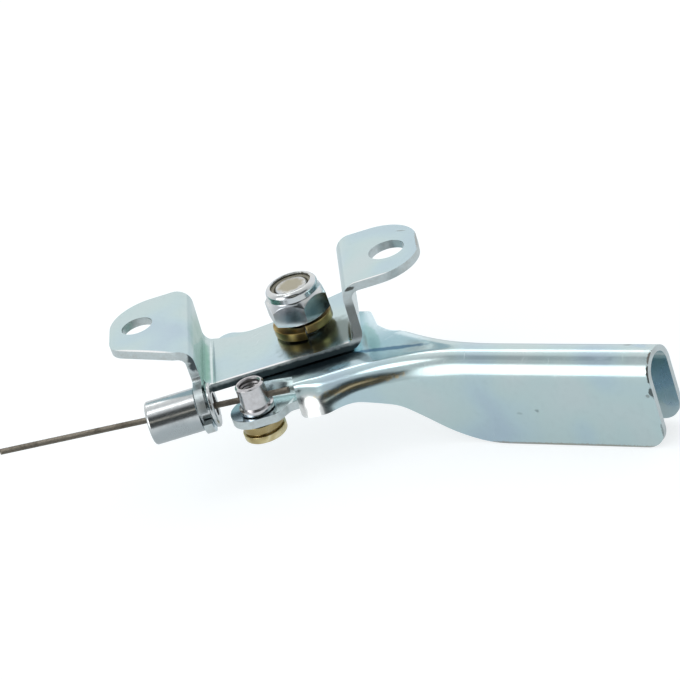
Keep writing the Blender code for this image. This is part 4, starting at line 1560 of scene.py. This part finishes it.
@dataclass(frozen=True)
class PivotFasteners(Assembly):
    """Hexagon bolt, split spring washer and lock nut with its nylon ring.

    Its fields are their standard sizes and the angles at which the nut and the washer's split stand.
    """

    length: float = 0.0160
    bolt_chamfer: float = 0.0009
    head_height: float = 0.0053
    flats: float = 0.0130
    hex_chamfer: float = 0.0006
    pitch: float = 0.00125
    thread_depth: float = 0.00045
    washer_radius: float = 0.0070
    washer_height: float = 0.0020
    washer_rise: float = 0.0013
    washer_split: float = 0.00016
    split_angle: float = math.radians(-86)
    nut_height: float = 0.0080
    nut_hex: float = 0.0052
    nut_drop: float = 0.0011
    collar: float = 0.0061
    collar_round: float = 0.0012
    nut_angle: float = math.radians(-136.8)
    insert_radius: float = 0.0051
    insert_height: float = 0.0020
    insert_lip: float = 0.0004
    seat: float = -2 * (STOCK.sheet + STOCK.seat_gap)
    dark_facets_height: float = 0.002184
    washer_edge: float = 1.5 * STOCK.turned_edge
    nut_edge: float = 2.4 * STOCK.turned_edge
    insert_edge: float = 2 * STOCK.turned_edge

    @property
    def corner(self) -> float:
        """Distance of a hexagon's corner from its axis."""
        return self.flats / math.sqrt(3)

    @property
    def nut_foot(self) -> float:
        """Height of the nut's foot."""
        return 2 * STOCK.seat_gap + self.washer_height + self.washer_rise

    def hexagon(self, angle: float) -> list[Point]:
        """Corners of the hexagon, the first at an angle."""
        angles = [angle + i * math.pi / 3 for i in range(6)]
        return [(self.corner * math.cos(a), self.corner * math.sin(a)) for a in angles]

    def build_bolt(self) -> None:
        """Bolt pushed up from below, its thread running out at its chamfered end."""
        foot = self.seat - self.head_height
        flat = self.flats / 2 - self.hex_chamfer / 2
        bolt = self.bench.solid("hex_bolt", prism(self.hexagon(0), foot, self.seat))
        forging = [(0, foot), (flat, foot), (self.corner, foot + self.hex_chamfer),
                   (self.corner, self.seat - self.hex_chamfer), (flat, self.seat), (0, self.seat)]
        self.bench.join(bolt, Join.KEEP, revolve(forging))
        end = self.seat + self.length
        chamfer = self.bolt_chamfer
        core = STOCK.bolt - self.thread_depth
        crest = STOCK.bolt - chamfer / 4
        thread = Thread(core, self.pitch, self.thread_depth, -self.seat / 4, end - chamfer / 2)
        shank = [(0, self.seat - HALF), (STOCK.bolt, self.seat - HALF), (STOCK.bolt, thread.low - self.pitch),
                 *[(core, z) for z in thread.heights()], (crest, end - chamfer / 3),
                 (crest - chamfer / 3, end), (STOCK.bolt / 2, end), (0, end - chamfer / 4)]
        self.bench.join(bolt, Join.ADD, revolve(shank, thread=thread))
        worn = Mark((0, 0, end), (STOCK.bolt, STOCK.bolt, chamfer), (0.40, 0.37, 0.27), 0.92, ragged=0.25)
        finish = Plating(name="bolt_zinc", tints=BRIGHT_TINTS, cloud=0.004, marks=(worn,))
        self.bench.finish(bolt, (finish,), Body.BRACKET, "pivot_bolt", Slot.BRIGHT_ZINC)

    def build_washer(self) -> None:
        """Square wire wound one turn, its ends apart and one above the other."""
        inner = STOCK.bolt + STOCK.seat_gap
        outer = self.washer_radius
        gap = self.washer_split / outer
        form = bmesh.new()
        rings = []
        for share in spaced(0, 1, STOCK.sides):
            angle = self.split_angle - gap - (2 * math.pi - 2 * gap) * share
            low = STOCK.seat_gap + self.washer_rise * share
            high = low + self.washer_height
            out = Vector((math.cos(angle), math.sin(angle), 0))
            section = ((inner, low), (outer, low), (outer, high), (inner, high))
            rings.append([form.verts.new(out * r + Vector((0, 0, z))) for r, z in section])
        solid_from_rings(rings, form, closed=False)
        form.faces.new(rings[0])
        form.faces.new(rings[-1])
        washer = self.bench.solid("split_washer", form)
        finish = Plating(name="washer_zinc", tints=BRONZE_TINTS, roughness=0.26, cloud=0.005)
        self.bench.finish(washer, (finish,), Body.BRACKET, "spring_washer", Slot.YELLOW_ZINC,
                          self.washer_edge)

    def build_nut(self) -> None:
        """Hexagon nut, its corners chamfered, its round collar rolled over the nylon ring."""
        foot = self.nut_foot
        top = foot + self.nut_height
        shoulder = foot + self.nut_hex
        chamfer = self.hex_chamfer
        soft = self.collar_round
        flat = self.flats / 2
        nut = self.bench.solid("hex_lock_nut", prism(self.hexagon(self.nut_angle), foot, top))
        forging = [(0, foot), (flat - chamfer / 2, foot), (self.corner, foot + chamfer),
                   (self.corner, shoulder - self.nut_drop), (flat, shoulder + chamfer / 4),
                   (self.collar + chamfer / 3, shoulder + chamfer / 2), (self.collar, shoulder + chamfer),
                   *arc((self.collar - soft, top - soft), soft, 0, QUARTER), (0, top)]
        self.bench.join(nut, Join.KEEP, revolve(forging))
        gap, over = STOCK.seat_gap, STOCK.overrun
        bore = STOCK.bolt + gap
        recess = self.insert_radius + gap
        lip = recess - 2 * gap
        ceiling = top - self.insert_lip
        floor = ceiling - self.insert_height - 2 * gap
        inside = [(0, foot - over), (bore, foot - over), (bore, floor), (recess, floor), (recess, ceiling),
                  (lip, ceiling), (lip, top + over), (0, top + over)]
        self.bench.join(nut, Join.CUT, revolve(inside))
        # painted dark reflection on the nut's hexagon facets, in teal
        dark_facets = Mark((0, 0, foot + self.dark_facets_height), (0.0094, 0.0094, 0.0036), (0.08, 0.18, 0.22), 0.85,
                    rough=0.0, ragged=0.12)
        finish = Plating(name="nut_zinc", tints=BRIGHT_TINTS, roughness=0.11, cloud=0.006, grain=0.000006,
                         marks=(dark_facets,))
        self.bench.finish(nut, (finish,), Body.BRACKET, "lock_nut", Slot.BRIGHT_ZINC, self.nut_edge)

    def build_insert(self) -> None:
        """Nylon ring trapped in the nut's collar."""
        top = self.nut_foot + self.nut_height - self.insert_lip - STOCK.seat_gap
        low = top - self.insert_height
        bore = STOCK.bolt + STOCK.running_gap / 2
        ring = self.bench.solid("nylon_ring", revolve([(bore, low), (self.insert_radius, low),
                                                       (self.insert_radius, top), (bore, top)]))
        finish = Nylon(name="locking_nylon", roughness=0.42, metallic=0.0, colour=(0.27, 0.255, 0.19),
                       scuffed=(0.38, 0.36, 0.28))
        self.bench.finish(ring, (finish,), Body.BRACKET, "nylon_insert", Slot.NYLON, self.insert_edge)

    def build(self) -> None:
        """Builds the four pieces from below upward."""
        self.build_bolt()
        self.build_washer()
        self.build_nut()
        self.build_insert()


@dataclass(frozen=True)
class Cable(Assembly):
    """Clamp barrel and screw on the lever's arm, the bare inner wire, and the ferrule in the bracket's fork.

    Its fields are the two pieces that it is held by, its own pieces' sizes, and where they stand in the
    pivot's frame.
    """

    lever: Lever
    bracket: Bracket
    barrel: float = 0.00333
    barrel_top: float = 0.0016
    barrel_bore: float = 0.0023
    barrel_chamfer: float = 0.0004
    barrel_pitch: float = 0.0008
    barrel_thread: float = 0.00034
    foot: float = 0.0040
    foot_height: float = 0.0010
    screw: float = 0.0020
    neck_height: float = 0.0018
    neck: float = 0.0047
    groove: float = 0.0040
    groove_height: float = 0.0005
    head: float = 0.0050
    head_height: float = 0.0018
    head_round: float = 0.0005
    wire: float = 0.0007
    wire_left: float = 0.0610
    wire_right: float = 0.0083
    wire_angle: float = math.radians(-9.8)
    wire_strands: int = 12
    strand_sides: int = 6
    wire_lay: float = 0.0090
    wire_step: float = 0.0004
    ferrule: float = 0.0050
    body_length: float = 0.0116
    ferrule_round: float = 0.0007
    flange: float = 0.00515
    flange_width: float = 0.0012
    ferrule_bore: float = 0.00265
    casing_bore: float = 0.0042
    casing_depth: float = 0.0100

    @property
    def arm_top(self) -> float:
        """Height of the arm's top face."""
        return self.lever.top - self.lever.arm_down

    @property
    def wire_z(self) -> float:
        """Height of the wire's axis."""
        return self.bracket.ferrule_z - STOCK.running_gap

    @property
    def clamp_place(self) -> Matrix:
        """The clamp's own frame, turned to the wire."""
        turn = Matrix.Rotation(self.wire_angle, 4, "Z")
        return Matrix.Translation((self.lever.clamp_x, self.lever.clamp_y, 0)) @ turn

    def build_barrel(self) -> None:
        """Turned barrel with a threaded bore and a cross hole for the wire."""
        foot = self.arm_top + STOCK.seat_gap
        top = self.barrel_top
        soft = self.barrel_chamfer
        thread = Thread(self.barrel_bore, self.barrel_pitch, self.barrel_thread, foot, top - soft)
        step = foot + self.foot_height
        profile = [(self.foot, foot), (self.foot, step), (self.barrel, step), (self.barrel, top - soft),
                   (self.barrel - soft, top), (self.barrel_bore + soft, top),
                   *[(self.barrel_bore, z) for z in reversed(thread.heights())]]
        barrel = self.bench.solid("turned_barrel", revolve(profile, thread=thread), self.clamp_place)
        hole = laid_along_x(drill(self.wire + STOCK.seat_gap, -2 * self.barrel, 2 * self.barrel), self.wire_z)
        self.bench.join(barrel, Join.CUT, hole, self.clamp_place)
        # painted shade deep in the barrel's threaded bore
        deep = Mark((self.lever.clamp_x, self.lever.clamp_y, top - 0.0015), (0.00322, 0.00322, 0.0060),
                    (0.06, 0.055, 0.05), 0.95, ragged=0.03)
        finish = Turned(name="barrel_steel", colour=(0.77, 0.76, 0.775), shade=(0.34, 0.31, 0.31),
                        roughness=0.15, grain=0.0007, depth=0.000003, dirt=0.30, marks=(deep,))
        self.bench.finish(barrel, (finish,), Body.CLAMP, "clamp_barrel", Slot.MACHINED)

    def build_screw(self) -> None:
        """Screw from below the arm, with a groove under its neck."""
        top = self.wire_z - self.wire - STOCK.seat_gap
        seat = self.arm_top - STOCK.sheet - STOCK.seat_gap
        groove_top = seat - self.neck_height
        head_top = groove_top - self.groove_height
        foot = head_top - self.head_height
        soft = self.head_round
        profile = [(0, foot), *arc((self.head - soft, foot + soft), soft, -QUARTER, 0), (self.head, head_top),
                   (self.groove, head_top), (self.groove, groove_top), (self.neck, groove_top),
                   (self.neck, seat), (self.screw, seat), (self.screw, top), (0, top)]
        screw = self.bench.solid("grooved_screw", revolve(profile), self.clamp_place)
        # painted shade on the screw's neck and groove, under the arm
        neck_shade = Mark((self.lever.clamp_x, self.lever.clamp_y, seat - self.neck_height / 2),
                    (0.0090, 0.0090, 0.0019), (0.30, 0.22, 0.09), 0.7, rough=0.05, ragged=0.15)
        finish = Plating(name="screw_zinc", tints=GOLD_TINTS, roughness=0.20, cloud=0.004, marks=(neck_shade,))
        self.bench.finish(screw, (finish,), Body.CLAMP, "clamp_screw", Slot.YELLOW_ZINC)

    def build_wire(self) -> None:
        """Straight wire of one layer of strands laid round its core."""
        count = math.ceil((self.wire_left + self.wire_right) / self.wire_step)
        share = math.sin(math.pi / self.wire_strands)
        strand = self.wire * share / (1 + share)
        middle = self.wire - strand
        sides = self.wire_strands * self.strand_sides
        form = bmesh.new()
        rings = [[form.verts.new((0, 0, -self.wire_left))]]
        for z in spaced(-self.wire_left, self.wire_right, count):
            ring = []
            for k in range(sides):
                off = (k % self.strand_sides / self.strand_sides - 0.5) * 2 * math.pi / self.wire_strands
                beside = middle * math.sin(off)
                reach = middle * math.cos(off) + math.sqrt(max(0.0, strand**2 - beside**2))
                angle = 2 * math.pi * (k / sides + z / self.wire_lay)
                ring.append(form.verts.new((reach * math.cos(angle), reach * math.sin(angle), z)))
            rings.append(ring)
        rings.append([form.verts.new((0, 0, self.wire_right))])
        solid_from_rings(rings, form, closed=False)
        wire = self.bench.solid("stranded_wire", laid_along_x(form, self.wire_z), self.clamp_place)
        finish = Turned(name="drawn_wire", colour=(0.27, 0.245, 0.205), shade=(0.08, 0.068, 0.05),
                        roughness=0.36, grain=0.0004, depth=0.000004, dirt=0.8)
        self.bench.finish(wire, (finish,), Body.CLAMP, "inner_wire", Slot.WIRE, 0.0)

    def build_ferrule(self) -> None:
        """Turned ferrule: casing socket to the left, neck in the fork, flange to the right."""
        leg = self.bracket.left_leg_x
        shoulder = leg - STOCK.sheet - STOCK.seat_gap
        start = shoulder - self.body_length
        socket_end = start + self.casing_depth
        flange = leg + STOCK.seat_gap
        end = flange + self.flange_width
        soft = self.ferrule_round
        edge = soft / 2
        neck = self.bracket.ferrule_neck
        profile = [(self.casing_bore, start), *arc((self.ferrule - soft, start + soft), soft, -QUARTER, 0),
                   (self.ferrule, shoulder), (neck, shoulder), (neck, flange), (self.flange - edge, flange),
                   (self.flange, flange + edge), (self.flange, end - edge), (self.flange - edge, end),
                   (self.ferrule_bore, end), (self.ferrule_bore, socket_end), (self.casing_bore, socket_end)]
        place = Matrix.Translation((0, self.bracket.ferrule_y, self.bracket.ferrule_z))
        ferrule = self.bench.solid("turned_ferrule", laid_along_x(revolve(profile), 0), place)
        # painted shade on the lower front of the ferrule's body
        shaded = Mark((shoulder - self.body_length / 2, self.bracket.ferrule_y - self.ferrule, -0.0045),
                      (self.body_length, 0.0045, 0.0040), (0.42, 0.47, 0.49), 0.8, rough=0.02, ragged=0.1)
        finish = Turned(name="ferrule_steel", colour=(0.70, 0.73, 0.74), shade=(0.36, 0.38, 0.38),
                        roughness=0.16, grain=0.0012, depth=0.000002, dirt=0.45, marks=(shaded,))
        self.bench.finish(ferrule, (finish,), Body.BRACKET, "cable_ferrule", Slot.MACHINED)

    def build(self) -> None:
        """Builds the four pieces along the cable."""
        self.build_barrel()
        self.build_screw()
        self.build_wire()
        self.build_ferrule()


@dataclass(frozen=True)
class Softbox:
    """A rectangular lamp that faces the part.

    Attributes:
        name: its name.
        towards: direction from the part to the lamp.
        distance: how far off it stands.
        size: its width and height.
        brightness: how bright its face is, where white is 1.
        colour: its colour.
    """

    name: str
    towards: Spot
    distance: float
    size: tuple[float, float]
    brightness: float
    colour: Colour = (1.0, 1.0, 1.0)

    def build(self, centre: Vector) -> None:
        """Stands the lamp in the scene.

        Args:
            centre: the point that it faces.
        """
        lamp = bpy.data.lights.new(self.name, "AREA")
        lamp.shape = "RECTANGLE"
        lamp.size, lamp.size_y = self.size
        lamp.energy = self.brightness * math.pi * self.size[0] * self.size[1]
        lamp.color = self.colour
        out = Vector(self.towards).normalized()
        facing = out.to_track_quat("Z", "Y").to_matrix().to_4x4()
        in_scene(self.name, lamp).matrix_world = Matrix.Translation(centre + out * self.distance) @ facing


@dataclass(frozen=True)
class Panel:
    """A soft patch of the room, light or dark, that polished metal mirrors.

    Attributes:
        towards: direction from the part to its middle.
        reach: its half lengths along X, Y and Z, on a sphere of radius 1.
        colour: its colour.
        share: how much it covers what lies behind it.
        core: how much of it has its full colour.
        turn: how its axes are turned.
    """

    towards: Spot
    reach: Spot
    colour: Colour
    share: float = 1.0
    core: float = 0.6
    turn: Spot = (0.0, 0.0, 0.0)

    def over(self, shader: Shader, way: Socket, room: Socket) -> Socket:
        """Lays the panel over the room.

        Args:
            shader: the world's tree.
            way: direction that is looked in.
            room: the room's colour so far.

        Returns:
            The room's colour with the panel.
        """
        distance = shader.away(way, Vector(self.towards).normalized(), self.reach, self.turn)
        cover = (1 - distance.eased(self.core, 1.0)) * self.share
        return shader.mixed(cover, room, self.colour)


@dataclass(frozen=True)
class Studio:
    """Floor, surroundings, lamps and camera.

    Attributes:
        azimuth: the camera's angle round the part, from the front towards +X.
        elevation: its angle above the horizon.
        roll: its turn about its own axis.
        aim: the point that it faces, in the pivot's frame.
        distance: how far it stands from that point.
        focal_pixels: its focal length, in pixels of the photograph.
        floor_radius: radius of the floor.
        floor_gap: how far the floor lies below the part.
        floor_colour: colour in which the floor takes its light and shadow.
        camera_floor: light that the floor adds for the camera.
        mirrored_floor: light that it adds for what mirrors it.
        plain_light: colour of the surroundings as a light on the part.
        front_of_room: colour that metal mirrors in front of the part.
        back_of_room: colour that it mirrors behind the part.
        room_turn: where along Y the room turns from the one to the other.
        lamps: the lamps.
        panels: patches of the room, each laid over those before it.
    """

    azimuth: float = math.radians(5.427)
    elevation: float = math.radians(26.805)
    roll: float = math.radians(-19.387)
    aim: Spot = (0.00663, -0.00180, -0.00479)
    distance: float = 0.63888
    focal_pixels: float = 2800.0
    floor_radius: float = 3.0
    floor_gap: float = 0.0002
    floor_colour: Colour = (0.44, 0.47, 0.48)
    camera_floor: float = 0.66
    mirrored_floor: float = 0.36
    plain_light: Colour = (0.78, 0.80, 0.82)
    front_of_room: Colour = (0.60, 0.61, 0.62)
    back_of_room: Colour = (0.92, 0.92, 0.92)
    room_turn: Point = (-0.2, 0.7)
    lamps: tuple[Softbox, ...] = (
        Softbox("left_softbox", (-0.80, -0.46, 0.38), 0.60, (0.20, 0.26), 1.9),
        Softbox("back_strip", (-0.18, 0.64, 0.75), 0.70, (0.30, 0.05), 2.2),
        Softbox("key_softbox", (-0.27, -0.10, 0.96), 0.90, (0.22, 0.22), 1.7),
    )
    panels: tuple[Panel, ...] = (
        # grey ceiling behind the left lamp, then the two upper lamps
        Panel((-0.48, 0.15, 0.86), (0.30, 0.26, 0.16), (0.42, 0.44, 0.45), 0.9, 0.4),
        Panel((-0.18, 0.64, 0.75), (0.40, 0.09, 0.08), (1.60, 1.60, 1.60), 0.9, 0.3),
        Panel((-0.28, -0.10, 0.95), (0.22, 0.24, 0.12), (1.50, 1.50, 1.48), 0.9, 0.4),
        # dark front of the room, with a pale band across it
        Panel((0.62, -0.66, 0.42), (0.55, 0.60, 0.45), (0.07, 0.08, 0.09), 0.92, 0.5),
        Panel((-0.03, -0.86, 0.51), (0.50, 0.64, 0.60), (0.025, 0.03, 0.03), 0.97, 0.80),
        Panel((-0.50, -0.66, 0.56), (0.18, 0.22, 0.22), (0.05, 0.055, 0.06), 0.9, 0.5),
        Panel((-0.02, -0.84, 0.54), (0.42, 0.15, 0.075), (0.72, 0.68, 0.60), 0.9, 0.35),
        # the left lamp
        Panel((-0.79, -0.48, 0.36), (0.36, 0.43, 0.55), (1.75, 1.75, 1.74), 1.0, 0.72),
    )

    def build_camera(self, origin: Vector) -> None:
        """Stands the camera where the photograph was taken from.

        Args:
            origin: where the pivot's frame lies in the row's.
        """
        back = Vector((math.cos(self.elevation) * math.sin(self.azimuth),
                       -math.cos(self.elevation) * math.cos(self.azimuth), math.sin(self.elevation)))
        level = Vector((math.cos(self.azimuth), math.sin(self.azimuth), 0))
        right = level * math.cos(self.roll) + back.cross(level) * math.sin(self.roll)
        turned = Matrix((right, back.cross(right), back)).transposed().to_4x4()
        lens = bpy.data.cameras.new("camera")
        lens.sensor_width = SENSOR
        lens.lens = self.focal_pixels / PHOTO_PIXELS * SENSOR
        lens.clip_start = self.distance / 100
        camera = in_scene("camera", lens)
        camera.matrix_world = Matrix.Translation(origin + Vector(self.aim) + back * self.distance) @ turned
        bpy.context.scene.camera = camera

    def build_floor(self) -> None:
        """Lays a pale floor under the part, whiter to the camera so that only the shadow shows."""
        disc = bmesh.new()
        bmesh.ops.create_circle(disc, cap_ends=True, radius=self.floor_radius, segments=STOCK.sides)
        mesh = bpy.data.meshes.new("floor")
        disc.to_mesh(mesh)
        disc.free()
        floor = in_scene("floor", mesh)
        floor.location.z = Vector(CAD_BOX[0]).z - self.floor_gap
        material, shader = new_material("pale_floor")
        camera, mirrored = shader.rays()
        glow = camera * self.camera_floor + mirrored * self.mirrored_floor
        lit = shader.node("ShaderNodeBsdfDiffuse", {}, {"Color": self.floor_colour})
        shine = shader.node("ShaderNodeEmission", {}, {"Color": WHITE, "Strength": glow})
        surface = shader.node("ShaderNodeAddShader", {}, {0: lit, 1: shine})
        shader.node("ShaderNodeOutputMaterial", {}, {"Surface": surface})
        mesh.materials.append(material)

    def build_surroundings(self) -> None:
        """Room round the part: pale behind it, dark in front, as its reflections in the photograph show."""
        world = bpy.data.worlds.new("studio")
        bpy.context.scene.world = world
        world.use_nodes = True
        shader = Shader(world.node_tree)
        way = shader.node("ShaderNodeTexCoord", output="Generated")
        room = shader.mixed(way.part(1).eased(*self.room_turn), self.front_of_room, self.back_of_room)
        for panel in self.panels:
            room = panel.over(shader, way, room)
        camera, mirrored = shader.rays()
        room = shader.mixed(mirrored, self.plain_light, room)
        room = shader.mixed(camera, room, WHITE)
        glow = shader.node("ShaderNodeBackground", {}, {"Color": room, "Strength": 1.0})
        shader.node("ShaderNodeOutputWorld", {}, {"Surface": glow})

    def build(self, origin: Vector) -> None:
        """Builds everything round the part.

        Args:
            origin: where the pivot's frame lies in the row's.
        """
        bpy.context.scene.view_settings.view_transform = "Standard"
        self.build_camera(origin)
        self.build_floor()
        self.build_surroundings()
        for lamp in self.lamps:
            lamp.build(origin + Vector(self.aim))


def pivot_origin() -> Vector:
    """Where the pivot's frame lies in the row's: on the joint's axis, below the ears by their rise.

    Returns:
        The origin.
    """
    joint = next(j for j in frame["joints"] if j["child"] == Body.LEVER.value)
    x, y, _ = joint["pos_m"]
    return Vector((x, y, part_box("bracket")[1].z - Bracket.ear_rise))


def main() -> None:
    """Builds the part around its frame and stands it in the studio."""
    logging.basicConfig(level=logging.INFO, format="%(name)s %(message)s")
    bench = Bench(pivot_origin())
    bracket = Bracket(bench)
    lever = Lever(bench)
    for assembly in (bracket, lever, PivotFasteners(bench), Cable(bench, lever, bracket)):
        assembly.build()
    Studio().build(bench.origin)


if __name__ == "__main__":
    main()
